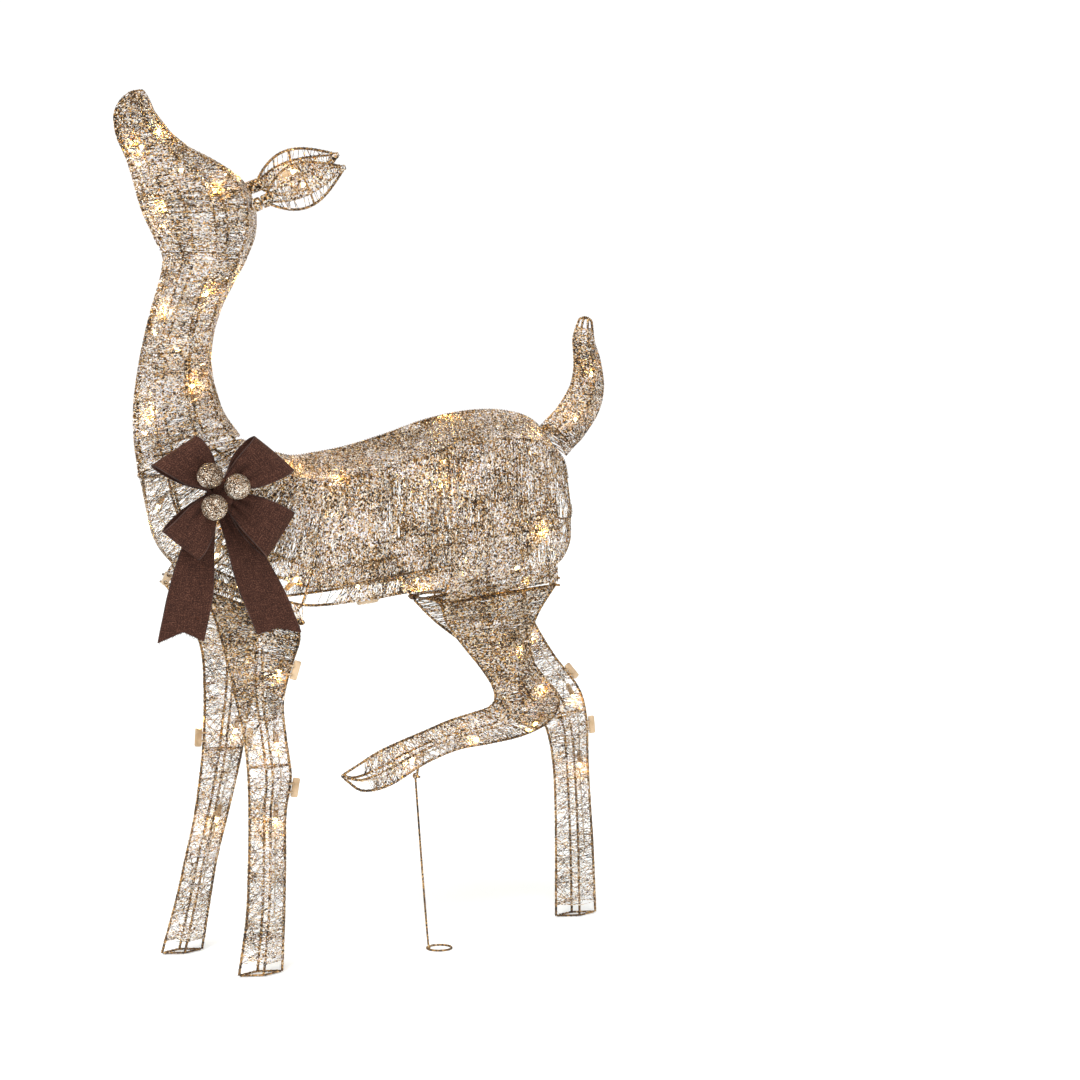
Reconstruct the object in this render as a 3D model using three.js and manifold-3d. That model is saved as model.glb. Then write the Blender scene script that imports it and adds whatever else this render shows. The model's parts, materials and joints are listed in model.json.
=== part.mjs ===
// A standing doe for the yard, 1.2 m tall: welded wire frames wound with glitter thread,
// strings of warm lights inside, a burlap bow, folding legs and a ground support rod.
// Millimetres, +Z up.  The doe faces -X, and its left side is -Y.

import * as THREE from 'three';
import { mergeVertices } from 'three/addons/utils/BufferGeometryUtils.js';
import Module from 'manifold-3d';

const wasm = await Module();
wasm.setup();

// ---------- driving dimensions ----------

const WIRE = 3.6;                  // frame wire diameter
const WIRE_SIDES = 4;
const HOOP_SIDES = 3;
const THREAD_LAYER = 1.5;          // thickness of the wound thread
const GAP = 1.1;                   // air between the wire and the thread layer
const LEG_HALF = 13;               // half thickness of a leg, side to side
const FRONT_LEG_Y = 88;            // side offset of the front legs
const HIND_LEG_Y = 48;             // side offset of the hind legs
const BAR_DROP = 9;                // cross bars hang this far under the belly wires
const EYE_BORE = 2.5;              // radius of a wire eye's hole
const EYE_OUTER = 4.6;
const PIN_SIDES = 6;
const RIBBON_WIDTH = 63.5;         // 2.5 inch ribbon
const RIBBON_THICK = 1.2;
const BERRY_RADIUS = 17.5;
const SOLE_Z = 1.5;                // the hooves and the ground ring are flat at this height

const wireRadius = WIRE / 2;
const HOOP_RADIUS = 1.5;
const threadInner = wireRadius + GAP;
const threadOuter = threadInner + THREAD_LAYER;

// ---------- colours ----------

const finish = (color, roughness, metalness) => ({ color, roughness, metalness });
const CHAMPAGNE_WIRE = finish(0x9a8470, 0.4, 0.8);
const GLITTER_THREAD = finish(0xc2ab94, 0.45, 0.5);
const WARM_LIGHT = finish(0xffd9a0, 0.3, 0);
const BURLAP = finish(0x3f261c, 0.9, 0);
const GLITTER_BALL = finish(0x8c7464, 0.45, 0.5);
const CLIP_PLASTIC = finish(0xcbb498, 0.5, 0);

// ---------- limb stations: front x, front z, rear x, rear z, half width ----------

const TORSO = {
  side: 0,
  rearPower: 2.2,
  frontPower: 5,
  stations: [
    [-138, 690, 6, 742, 76],
    [-126, 640, 36, 728, 84],
    [-108, 592, 58, 722, 92],
    [-76, 558, 76, 718, 97],
    [-8, 527, 92, 718, 100],
    [60, 499, 112, 721, 101],
    [150, 502, 162, 730, 101],
    [220, 510, 225, 748, 99],
    [291, 517, 292, 770, 95],
    [360, 526, 362, 783, 90],
    [425, 536, 420, 783, 82],
    [478, 546, 464, 770, 68],
    [506, 580, 494, 738, 50],
    [517, 622, 512, 696, 27],
  ],
};

const NECK = {
  side: 0,
  rearPower: 2.1,
  frontPower: 2.1,
  stations: [
    [-142, 702, 2, 754, 76],
    [-146, 745, -20, 780, 60],
    [-146, 790, -32, 812, 54],
    [-140, 835, -38, 848, 49],
    [-131, 880, -35, 885, 46],
    [-119, 925, -23, 925, 44],
    [-107, 964, -4, 962, 44],
    [-102, 990, 10, 986, 45],
  ],
};

const HEAD = {
  side: 0,
  rearPower: 2.1,
  frontPower: 2.1,
  stations: [
    [-104, 998, 15, 996, 47],
    [-118, 1026, 28, 1030, 52],
    [-132, 1056, 28, 1068, 55],
    [-140, 1082, 10, 1104, 54],
    [-146, 1104, -28, 1128, 49],
    [-154, 1128, -68, 1146, 41],
    [-166, 1154, -92, 1162, 32],
    [-170, 1182, -112, 1184, 24],
    [-161, 1204, -124, 1208, 16],
    [-147, 1216, -131, 1219, 7],
  ],
};

// The last stretch of a leg is bare wire over the share given as bareHoof.
const leg = (name, side, bareHoof, stations) => ({
  name, side, bareHoof, stations, rearPower: 2, frontPower: 2, half: LEG_HALF,
});

const LEFT_FRONT = leg('left_front_leg', -FRONT_LEG_Y, 0.2, [
  [-74, 540, 56, 484],
  [-60, 492, 58, 462],
  [-46, 440, 46, 428],
  [-32, 382, 34, 380],
  [-21, 328, 38, 330],
  [-16, 275, 45, 274],
  [-15, 225, 37, 225],
  [-16, 160, 36, 160],
  [-20, 80, 34, 80],
  [-32, 2, 31, 2],
]);

const RIGHT_FRONT = leg('right_front_leg', FRONT_LEG_Y, 0.2, [
  [-74, 540, 56, 484],
  [-44, 492, 60, 462],
  [-24, 440, 60, 428],
  [-20, 382, 54, 380],
  [-21, 328, 42, 328],
  [-25, 275, 32, 275],
  [-36, 200, 13, 200],
  [-50, 140, -3, 140],
  [-64, 82, -14, 82],
  [-87, 2, -27, 2],
]);

const LEFT_HIND = leg('left_hind_leg', -HIND_LEG_Y, 0.9, [
  [282, 504, 478, 532],
  [304, 474, 450, 484],
  [332, 438, 437, 446],
  [360, 405, 443, 412],
  [378, 377, 464, 384],
  [380, 358, 486, 350],
  [370, 348, 467, 321],
  [343, 341, 424, 304],
  [308, 333, 370, 296],
  [272, 321, 318, 290],
  [233, 308, 264, 272],
  [195, 294, 212, 246],
  [160, 276, 170, 240],
  [141, 266, 144, 257],
]);

const RIGHT_HIND = leg('right_hind_leg', HIND_LEG_Y, 0.15, [
  [282, 504, 478, 532],
  [330, 468, 478, 496],
  [388, 426, 496, 456],
  [442, 384, 528, 408],
  [490, 340, 570, 356],
  [515, 296, 584, 306],
  [526, 246, 586, 246],
  [530, 180, 590, 180],
  [531, 110, 595, 110],
  [531, 2, 600, 2],
]);

const TAIL = {
  side: 0,
  rearPower: 2,
  frontPower: 2,
  stations: [
    [491, 772, 535, 732, 24],
    [510, 790, 553, 750, 23],
    [530, 820, 577, 785, 22],
    [537, 846, 586, 822, 19],
    [537, 872, 580, 862, 16],
    [539, 896, 571, 890, 11],
    [556, 918, 570, 914, 6],
  ],
};

// ---------- geometry helpers ----------

// A spline that steps evenly from one of its points to the next.
class EvenSpline extends THREE.CatmullRomCurve3 {
  getUtoTmapping(u) {
    return u;
  }
}

const vec = (x, y, z) => new THREE.Vector3(x, y, z);
const radians = THREE.MathUtils.degToRad;
const evenAngles = (count) => Array.from({ length: count }, (_, i) => (i * 360) / count);

function toSolid(geometry) {
  const bare = geometry.index ? geometry.toNonIndexed() : geometry.clone();
  bare.deleteAttribute('normal');
  bare.deleteAttribute('uv');
  const merged = mergeVertices(bare, 1e-4);
  return new wasm.Manifold(new wasm.Mesh({
    numProp: 3,
    vertProperties: new Float32Array(merged.attributes.position.array),
    triVerts: new Uint32Array(merged.index.array),
  }));
}

function toGeometry(solid) {
  const mesh = solid.getMesh();
  const geometry = new THREE.BufferGeometry();
  geometry.setAttribute('position', new THREE.BufferAttribute(mesh.vertProperties, 3));
  geometry.setIndex(new THREE.BufferAttribute(mesh.triVerts, 1));
  return geometry;
}

const join = (solids) => solids.reduce((whole, piece) => whole.add(piece));

// A regular outline about the origin.
const regular = (radius, sides) => new THREE.Shape(evenAngles(sides).map((angle) =>
  new THREE.Vector2(radius * Math.cos(radians(angle)), radius * Math.sin(radians(angle)))));

// A rod through the given points.
function rod(points, radius = wireRadius, sides = WIRE_SIDES) {
  const options = { steps: points.length - 1, extrudePath: new EvenSpline(points), bevelEnabled: false };
  return toSolid(new THREE.ExtrudeGeometry(regular(radius, sides), options));
}

// A closed hoop through the given points.
function hoop(points, radius = HOOP_RADIUS, sides = HOOP_SIDES) {
  const path = new EvenSpline(points, true);
  return toSolid(new THREE.TubeGeometry(path, points.length, radius, sides, true));
}

// The turn that takes the Y axis to a direction.
const turnFromY = (direction) =>
  new THREE.Quaternion().setFromUnitVectors(vec(0, 1, 0), direction.clone().normalize());

// A straight cylinder from one point to another.
function pin(from, to, radius, sides = PIN_SIDES) {
  const axis = to.clone().sub(from);
  const geometry = new THREE.CylinderGeometry(radius, radius, axis.length(), sides);
  geometry.applyQuaternion(turnFromY(axis));
  geometry.translate(...from.clone().add(to).multiplyScalar(0.5).toArray());
  return toSolid(geometry);
}

// A cylinder lying across the doe, centred on (x, y, z).
const crossPin = (x, y, z, halfLength, radius, sides = PIN_SIDES) =>
  pin(vec(x, y - halfLength, z), vec(x, y + halfLength, z), radius, sides);

// A flat outline in x and z, extruded across the doe and centred on y.
function crossPlate(shape, y, width, steps = 4) {
  const options = { depth: width, curveSegments: steps, bevelEnabled: false };
  const geometry = new THREE.ExtrudeGeometry(shape, options);
  geometry.rotateX(Math.PI / 2);
  geometry.translate(0, y + width / 2, 0);
  return toSolid(geometry);
}

// The point of a limb's skin at a station, an angle in degrees from its rear edge, and an offset outwards.
function skinPoint(limb, station, angle, offset = 0) {
  const [frontX, frontZ, rearX, rearZ, width] = limb.stations[station];
  const halfWidth = width ?? limb.half;
  const depth = Math.hypot(rearX - frontX, rearZ - frontZ) / 2;
  const cosine = Math.cos(radians(angle));
  const sine = Math.sin(radians(angle));
  const power = 2 / (cosine < 0 ? limb.frontPower : limb.rearPower);
  const along = Math.sign(cosine) * Math.abs(cosine) ** power * (depth + offset) / (2 * depth);
  const across = Math.sign(sine) * Math.abs(sine) ** power * (halfWidth + offset);
  return vec(
    (frontX + rearX) / 2 + along * (rearX - frontX),
    limb.side + across,
    (frontZ + rearZ) / 2 + along * (rearZ - frontZ),
  );
}

const stationNumbers = (limb) => limb.stations.map((_, index) => index);

// A point of the skin at any place between two stations.
function placePoint(limb, place, angle, offset = 0) {
  const low = Math.min(Math.floor(place), limb.stations.length - 2);
  const from = skinPoint(limb, low, angle, offset);
  return from.lerp(skinPoint(limb, low + 1, angle, offset), place - low);
}

// Lengthwise wires at the given angles, and hoops at the given places along the limb.
function wireCage(limb, wireAngles, hoopAngles, hoopPlaces) {
  const wires = wireAngles.map((angle) => rod(stationNumbers(limb).map((i) => skinPoint(limb, i, angle))));
  const hoops = hoopPlaces.map((place) => hoop(hoopAngles.map((angle) => placePoint(limb, place, angle))));
  return join([...wires, ...hoops]);
}

// A closed solid from a grid of points: outer and inner skins with rims between them.
function shell(outer, inner, wraps) {
  const rows = outer.length;
  const columns = outer[0].length;
  const positions = [...outer.flat(), ...inner.flat()].flatMap((point) => point.toArray());
  const at = (row, column, layer) => layer * rows * columns + row * columns + (column % columns);
  const index = [];
  const quad = (a, b, c, d) => index.push(a, b, c, a, c, d);
  const spans = wraps ? columns : columns - 1;
  for (let row = 0; row < rows - 1; row += 1) {
    for (let column = 0; column < spans; column += 1) {
      const next = column + 1;
      quad(at(row, column, 0), at(row, next, 0), at(row + 1, next, 0), at(row + 1, column, 0));
      quad(at(row, column, 1), at(row + 1, column, 1), at(row + 1, next, 1), at(row, next, 1));
    }
  }
  for (let column = 0; column < spans; column += 1) {
    const next = column + 1;
    quad(at(0, column, 0), at(0, column, 1), at(0, next, 1), at(0, next, 0));
    quad(at(rows - 1, column, 0), at(rows - 1, next, 0), at(rows - 1, next, 1), at(rows - 1, column, 1));
  }
  for (let row = 0; row < rows - 1 && !wraps; row += 1) {
    quad(at(row, 0, 0), at(row + 1, 0, 0), at(row + 1, 0, 1), at(row, 0, 1));
    const end = columns - 1;
    quad(at(row, end, 0), at(row, end, 1), at(row + 1, end, 1), at(row + 1, end, 0));
  }
  const geometry = new THREE.BufferGeometry();
  geometry.setAttribute('position', new THREE.Float32BufferAttribute(positions, 3));
  geometry.setIndex(index);
  const solid = toSolid(geometry);
  if (solid.volume() > 0) {
    return solid;
  }
  geometry.setIndex(index.toReversed());
  return toSolid(geometry);
}

// A point at a true distance outside the skin, along the skin's normal.
function raisedPoint(limb, station, angle, offset) {
  const last = limb.stations.length - 1;
  const ahead = skinPoint(limb, Math.min(station + 1, last), angle);
  const along = ahead.sub(skinPoint(limb, Math.max(station - 1, 0), angle));
  const around = skinPoint(limb, station, angle + 4).sub(skinPoint(limb, station, angle - 4));
  return skinPoint(limb, station, angle).addScaledVector(around.cross(along).normalize(), offset);
}

// The wound thread of a limb, just outside its wires.
function threadLayer(limb, angles, wraps, stations = stationNumbers(limb)) {
  const skin = (offset) => stations.map((i) => angles.map((angle) => raisedPoint(limb, i, angle, offset)));
  return shell(skin(threadOuter), skin(threadInner), wraps);
}

// The thread's section around a four-wire limb: blunt at its two edges, straight between its wires.
function diamondSection(limb, place, offset) {
  const rear = placePoint(limb, place, 0);
  const front = placePoint(limb, place, 180);
  const middle = rear.clone().add(front).multiplyScalar(0.5);
  const half = rear.distanceTo(front) / 2;
  const direction = rear.clone().sub(middle).normalize();
  const corners = [[1, 0.8], [0, 1.2], [-1, 0.8], [-1, -0.8], [0, -1.2], [1, -0.8]];
  return corners.map(([end, side]) => middle.clone()
    .addScaledVector(direction, end * (half + offset))
    .add(vec(0, side * offset + (end === 0 ? Math.sign(side) * limb.half : 0), 0)));
}

// What lies under the hooves and the ground ring.
const ground = toSolid(new THREE.BoxGeometry(1400, 400, 20).translate(200, 0, SOLE_Z - 10));

// ---------- light strings ----------

const CABLE_RADIUS = 1.2;
const LAMP_RADIUS = 3.8;
const LAMP_PROFILE = [[0, -13], [LAMP_RADIUS, -11], [LAMP_RADIUS, 9], [0, 14]];

// A lamp holder with its bulb, pointing along a direction.
function lamp(centre, direction) {
  const profile = LAMP_PROFILE.map(([radius, height]) => new THREE.Vector2(radius, height));
  const geometry = new THREE.LatheGeometry(profile, 4);
  geometry.applyQuaternion(turnFromY(direction));
  geometry.translate(...centre.toArray());
  return toSolid(geometry);
}

// A cable with lamps on the points that are asked for, each lamp lying along the cable.
function lightString(points, hasLamp) {
  const lamps = points.slice(1, -1).flatMap((point, i) => {
    const ahead = points[i + 2].clone().sub(points[i]);
    return hasLamp(i) ? [lamp(point, ahead)] : [];
  });
  return join([rod(points, CABLE_RADIUS, 3), ...lamps]);
}

// A point inside a limb, at any place between its stations.
function insidePoint(limb, place, angle, inset) {
  const low = Math.min(Math.floor(place), limb.stations.length - 2);
  const from = skinPoint(limb, low, angle, -inset);
  return from.lerp(skinPoint(limb, low + 1, angle, -inset), place - low);
}

// Points that wind around inside a limb, at one depth under its skin.
function windingRoute(limb, { count, turns, inset, first, last }) {
  return Array.from({ length: count }, (_, i) => {
    const share = i / (count - 1);
    return insidePoint(limb, first + (last - first) * share, 360 * turns * share + 60, inset);
  });
}

// ---------- the parts ----------

const doe = new THREE.Group();

function addPart(name, solid, look) {
  const mesh = new THREE.Mesh(toGeometry(solid), new THREE.MeshStandardMaterial(look));
  mesh.name = name;
  doe.add(mesh);
}

// ---------- torso ----------

const FRONT_CLIP_STATION = 3;
const FRONT_HINGE_STATION = 5;
const HIND_HINGE_STATION = 8;
const HIND_CLIP_STATION = 11;
const TORSO_WIRES = [0, 50, 96, 135, 225, 264, 310];
const TORSO_SKIN = [-135, -115, -96, -74, -50, -25, 0, 25, 50, 74, 96, 115, 135];
const TORSO_HOOPS = [0, FRONT_CLIP_STATION, FRONT_HINGE_STATION, HIND_HINGE_STATION, HIND_CLIP_STATION, 13];
const BAR_OVERHANG = 16;
const STRUT_Y = 30;

// The cross bar under a belly station, as [x, z].
function barUnder(station) {
  const [x, z] = TORSO.stations[station];
  return [x, z - BAR_DROP];
}

// A bar across the belly that the legs hinge on or clip to, hung from its hoop by two struts.
function crossBar(station, legSide) {
  const [x, z] = barUnder(station);
  const struts = [-STRUT_Y, STRUT_Y].map((y) =>
    rod([vec(x, y, z), vec(x, y, z + BAR_DROP + 4)], HOOP_RADIUS, HOOP_SIDES));
  return join([crossPin(x, 0, z, legSide + BAR_OVERHANG, wireRadius), ...struts]);
}

// The neck's pegs stand square to the torso's first hoop.
const [collarFrontX, collarFrontZ, collarRearX, collarRearZ, COLLAR_HALF] = TORSO.stations[0];
const COLLAR_MIDDLE = vec((collarFrontX + collarRearX) / 2, 0, (collarFrontZ + collarRearZ) / 2);
const NECK_AXIS = vec(collarFrontZ - collarRearZ, 0, collarRearX - collarFrontX).normalize();
const PEG_TUBE_LOW = -20;
const PEG_TUBE_HIGH = 4;
const PEG_LOW = -15;
const NECK_BASE = 13;

const alongNeck = (side, distance) =>
  COLLAR_MIDDLE.clone().addScaledVector(NECK_AXIS, distance).setY(side * COLLAR_HALF);

// The rump carries a short bar for the tail, on two posts that stand through the thread.
const TAIL_PIVOT = vec(487, 0, 760);
const TAIL_BAR_HALF = 13;
const TAIL_POST_Y = 9;
const TAIL_POST_FOOT = vec(477, 0, 753);
const tailPosts = [-TAIL_POST_Y, TAIL_POST_Y].map((y) =>
  pin(TAIL_POST_FOOT.clone().setY(y), TAIL_PIVOT.clone().setY(y), HOOP_RADIUS, WIRE_SIDES));

function torsoFrame() {
  const hoopAngles = [...TORSO_SKIN, 155, 180, 205];
  const cage = wireCage(TORSO, TORSO_WIRES, hoopAngles, TORSO_HOOPS);
  const bars = [
    crossBar(FRONT_CLIP_STATION, FRONT_LEG_Y),
    crossBar(FRONT_HINGE_STATION, FRONT_LEG_Y),
    crossBar(HIND_HINGE_STATION, HIND_LEG_Y),
    crossBar(HIND_CLIP_STATION, HIND_LEG_Y),
    crossPin(TAIL_PIVOT.x, 0, TAIL_PIVOT.z, TAIL_BAR_HALF, wireRadius),
    crossPin(TAIL_POST_FOOT.x, 0, TAIL_POST_FOOT.z, TAIL_POST_Y + 1, wireRadius),
    ...tailPosts,
  ];
  const tubes = [-1, 1].map((side) =>
    pin(alongNeck(side, PEG_TUBE_LOW), alongNeck(side, PEG_TUBE_HIGH), EYE_OUTER));
  const bores = [-1, 1].map((side) =>
    pin(alongNeck(side, PEG_TUBE_LOW - 4), alongNeck(side, NECK_BASE), EYE_BORE));
  return join([cage, ...bars, ...tubes]).subtract(join(bores));
}

function torsoThread() {
  const layer = threadLayer(TORSO, TORSO_SKIN, false);
  const tubeRoom = [-1, 1].map((side) =>
    pin(alongNeck(side, PEG_TUBE_LOW - 4), alongNeck(side, NECK_BASE), EYE_OUTER + GAP));
  const tailRoom = crossPin(TAIL_PIVOT.x, 0, TAIL_PIVOT.z, TAIL_BAR_HALF + 2, EYE_OUTER + 3);
  const footRoom = crossPin(TAIL_POST_FOOT.x, 0, TAIL_POST_FOOT.z, TAIL_POST_Y + 2, wireRadius + GAP);
  return layer.subtract(join([...tubeRoom, tailRoom, footRoom]));
}

addPart('torso_frame', torsoFrame(), CHAMPAGNE_WIRE);
addPart('torso_thread', torsoThread(), GLITTER_THREAD);
const torsoRoute = windingRoute(TORSO, { count: 24, turns: 4.3, inset: 15, first: 0.6, last: 12.4 });
addPart('torso_light_string', lightString(torsoRoute, () => true), WARM_LIGHT);

// ---------- neck and head, one welded frame ----------

const ROUND_WIRES = [0, 50, 90, 180, 270, 310];
const ROUND_SKIN = [0, 25, 50, 70, 90, 120, 150, 180, 210, 240, 270, 290, 310, 335];
const EAR_TUBE = 11;

const EARS = [
  { name: 'left_ear', place: 2, angle: -28, tip: vec(142, -58, 1124), stem: 16, opens: -1 },
  { name: 'right_ear', place: 2.6, angle: 28, tip: vec(166, 26, 1152), stem: 34, opens: 1 },
].map((ear) => {
  const root = placePoint(HEAD, ear.place, ear.angle);
  const axis = ear.tip.clone().sub(root).normalize();
  const up = vec(0, 0, 1).addScaledVector(axis, -axis.z).normalize();
  const out = up.clone().cross(axis).multiplyScalar(-ear.opens).normalize();
  return { ...ear, root, axis, up, out };
});

const alongEar = (ear, distance) => ear.root.clone().addScaledVector(ear.axis, distance);

function neckHeadFrame() {
  const neck = wireCage(NECK, ROUND_WIRES, ROUND_SKIN, [0.4, 3.5]);
  const head = wireCage(HEAD, ROUND_WIRES, ROUND_SKIN, [0, EARS[0].place, EARS[1].place, 5.5, 9]);
  const bridge = ROUND_WIRES.map((angle) =>
    rod([skinPoint(NECK, NECK.stations.length - 1, angle), skinPoint(HEAD, 0, angle)]));
  const pegs = [-1, 1].map((side) =>
    pin(alongNeck(side, PEG_LOW), alongNeck(side, NECK_BASE), wireRadius, WIRE_SIDES));
  const tubes = EARS.map((ear) => pin(alongEar(ear, -EAR_TUBE), alongEar(ear, EAR_TUBE), EYE_OUTER));
  const bores = EARS.map((ear) => pin(alongEar(ear, -EAR_TUBE - 3), alongEar(ear, EAR_TUBE + 3), EYE_BORE));
  return join([neck, head, ...bridge, ...pegs, ...tubes]).subtract(join(bores));
}

function headThread() {
  const room = EARS.map((ear) =>
    pin(alongEar(ear, -EAR_TUBE - 4), alongEar(ear, ear.stem + 8), EYE_OUTER + GAP));
  return threadLayer(HEAD, ROUND_SKIN, true).subtract(join(room));
}

addPart('neck_head_frame', neckHeadFrame(), CHAMPAGNE_WIRE);
addPart('neck_thread', threadLayer(NECK, ROUND_SKIN, true), GLITTER_THREAD);
addPart('head_thread', headThread(), GLITTER_THREAD);
const neckRoute = windingRoute(NECK, { count: 11, turns: 2, inset: 13, first: 0.3, last: 6.6 });
addPart('neck_light_string', lightString(neckRoute, () => true), WARM_LIGHT);
const headRoute = windingRoute(HEAD, { count: 10, turns: 1.8, inset: 13, first: 0.6, last: 6.4 });
addPart('head_light_string', lightString(headRoute, () => true), WARM_LIGHT);

// ---------- ears ----------

const EAR_HALF_WIDTH = 31;
const EAR_DEPTH = 15;
const EAR_STEPS = 6;
const EAR_RIBS = [-90, -30, 30, 90];
const EAR_SKIN = [-90, -60, -30, 0, 30, 60, 90];

// A point of an ear's cup: a share of its length, an angle across it, and an offset outwards.
function earPoint(ear, share, angle, offset = 0) {
  const length = ear.tip.distanceTo(ear.root) - ear.stem;
  const swell = Math.sin(Math.PI * share ** 0.85);
  const across = (EAR_HALF_WIDTH * swell + offset) * Math.sin(radians(angle));
  const depth = (EAR_DEPTH * swell + offset) * Math.cos(radians(angle));
  const middle = alongEar(ear, ear.stem + length * share);
  return middle.addScaledVector(ear.up, across).addScaledVector(ear.out, -depth);
}

const earShares = Array.from({ length: EAR_STEPS + 1 }, (_, i) => i / EAR_STEPS);

function earFrame(ear) {
  const ribs = EAR_RIBS.map((angle) => rod(earShares.map((share) => earPoint(ear, share, angle))));
  const band = rod(EAR_SKIN.map((angle) => earPoint(ear, 0.5, angle)), HOOP_RADIUS, HOOP_SIDES);
  const stem = pin(alongEar(ear, 1 - EAR_TUBE), alongEar(ear, ear.stem + 3), wireRadius, WIRE_SIDES);
  return join([...ribs, band, stem]);
}

function earThread(ear) {
  const skin = (offset) => earShares.slice(1, -1).map((share) =>
    EAR_SKIN.map((angle) => earPoint(ear, share, angle, offset)));
  return shell(skin(threadOuter), skin(threadInner), false);
}

for (const ear of EARS) {
  addPart(`${ear.name}_frame`, earFrame(ear), CHAMPAGNE_WIRE);
  addPart(`${ear.name}_thread`, earThread(ear), GLITTER_THREAD);
  const lead = [20, 50, 72].map((reach) => alongEar(ear, ear.stem + reach).addScaledVector(ear.out, 2));
  addPart(`${ear.name}_light`, lightString(lead, () => true), WARM_LIGHT);
}

// ---------- legs ----------

const CLIP_REACH = 11;             // from the eye on the leg's pin to the bar in the clip
const CLIP_SLOT = 2.4;             // half width of the clip's mouth
const CLIP_WIDTH = 7;
const CLIP_OFFSET = 8;             // the clip sits beside the leg's corner, on its inner side
const EYE_WIDTH = 16;
const CORNER_PIN_HALF = 13;

const LEGS = [
  { ...LEFT_FRONT, hinge: FRONT_HINGE_STATION, clip: FRONT_CLIP_STATION, folds: 1 },
  { ...RIGHT_FRONT, hinge: FRONT_HINGE_STATION, clip: FRONT_CLIP_STATION, folds: 1 },
  { ...LEFT_HIND, hinge: HIND_HINGE_STATION, clip: HIND_CLIP_STATION, folds: -1 },
  { ...RIGHT_HIND, hinge: HIND_HINGE_STATION, clip: HIND_CLIP_STATION, folds: -1 },
].map((leg) => {
  const [hingeX, hingeZ] = barUnder(leg.hinge);
  const [clipX, clipZ] = barUnder(leg.clip);
  const arm = Math.hypot(clipX - hingeX, clipZ - hingeZ);
  const mouthX = (leg.folds * (clipZ - hingeZ)) / arm;
  const mouthZ = (-leg.folds * (clipX - hingeX)) / arm;
  const pinX = clipX - CLIP_REACH * mouthX;
  const pinZ = clipZ - CLIP_REACH * mouthZ;
  const hingeCorner = [hingeX - leg.folds * 2, hingeZ - 5];
  const top = leg.folds > 0 ? [pinX, pinZ, ...hingeCorner] : [...hingeCorner, pinX, pinZ];
  const stations = [top, ...leg.stations.slice(1)];
  return { ...leg, stations, hingeX, hingeZ, pinX, pinZ, mouthX, mouthZ };
});

function eye(x, y, z, width) {
  const ring = regular(EYE_OUTER, 8);
  ring.holes.push(regular(EYE_BORE, 8));
  const solid = crossPlate(ring, 0, width);
  return solid.translate([x, y, z]);
}

// An eye around the leg's corner pin, with a fork that snaps up over the torso's cross bar.
function legClip(leg) {
  const outline = new THREE.Shape();
  const forkEnd = CLIP_REACH + 4;
  outline.moveTo(forkEnd, EYE_OUTER);
  outline.lineTo(0, EYE_OUTER);
  outline.absarc(0, 0, EYE_OUTER, Math.PI / 2, (3 * Math.PI) / 2, false);
  outline.lineTo(forkEnd, -EYE_OUTER);
  outline.lineTo(forkEnd, -CLIP_SLOT);
  outline.lineTo(CLIP_REACH, -CLIP_SLOT);
  outline.absarc(CLIP_REACH, 0, CLIP_SLOT, (3 * Math.PI) / 2, Math.PI / 2, true);
  outline.lineTo(forkEnd, CLIP_SLOT);
  outline.holes.push(new THREE.Path().absarc(0, 0, EYE_BORE, 0, Math.PI * 2));
  const tilt = (Math.atan2(leg.mouthZ, leg.mouthX) * 180) / Math.PI;
  const inner = leg.side - Math.sign(leg.side) * CLIP_OFFSET;
  return crossPlate(outline, 0, CLIP_WIDTH, 3).rotate([0, -tilt, 0]).translate([leg.pinX, inner, leg.pinZ]);
}

const ROD_PIN = vec(254, -HIND_LEG_Y, 255);
const ROD_SIDE = 5;
const ROD_STRUT_TOP = vec(256, -HIND_LEG_Y, 269);

function legFrame(leg) {
  const last = leg.stations.length - 1;
  const hoops = [0, last * 0.52, last];
  const cage = wireCage(leg, evenAngles(4), evenAngles(4), hoops);
  const fittings = [
    eye(leg.hingeX, leg.side, leg.hingeZ, EYE_WIDTH),
    crossPin(leg.pinX, leg.side, leg.pinZ, CORNER_PIN_HALF, wireRadius),
  ];
  if (leg.name === LEFT_HIND.name) {
    fittings.push(crossPin(ROD_PIN.x, ROD_PIN.y, ROD_PIN.z, 9, wireRadius));
    fittings.push(pin(ROD_STRUT_TOP, ROD_PIN, wireRadius, WIRE_SIDES));
  }
  const barRoom = crossPin(leg.hingeX, leg.side, leg.hingeZ, EYE_WIDTH, EYE_BORE);
  return join([cage, ...fittings]).subtract(join([barRoom, ground]));
}

const THREAD_START = 0.3;           // a leg's thread starts this far down its first stretch
const BEND_ROOM = 0.5;              // the leg's thread stands this much further off, for its bends

function legThread(leg) {
  const last = leg.stations.length - 1;
  const places = [THREAD_START, ...stationNumbers(leg).slice(1, -1), last - leg.bareHoof];
  const skin = (offset) => places.map((place) => diamondSection(leg, place, offset));
  const layer = shell(skin(threadOuter + BEND_ROOM), skin(threadInner + BEND_ROOM), true);
  const strutRoom = pin(ROD_STRUT_TOP, ROD_PIN, wireRadius + GAP, WIRE_SIDES);
  return leg.name === LEFT_HIND.name ? layer.subtract(strutRoom) : layer;
}

for (const leg of LEGS) {
  addPart(`${leg.name}_frame`, legFrame(leg), CHAMPAGNE_WIRE);
  addPart(`${leg.name}_thread`, legThread(leg), GLITTER_THREAD);
  addPart(`${leg.name}_clip`, legClip(leg), CLIP_PLASTIC);
  const route = stationNumbers(leg).slice(1, -1).map((i) => insidePoint(leg, i, 0, 14));
  addPart(`${leg.name}_light_string`, lightString(route, (i) => i % 2 === 0), WARM_LIGHT);
}

// ---------- support rod ----------

const GROUND_RING = 18;
const ROD_LEAN = 16;                // the rod leans out this far on its way down

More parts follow.
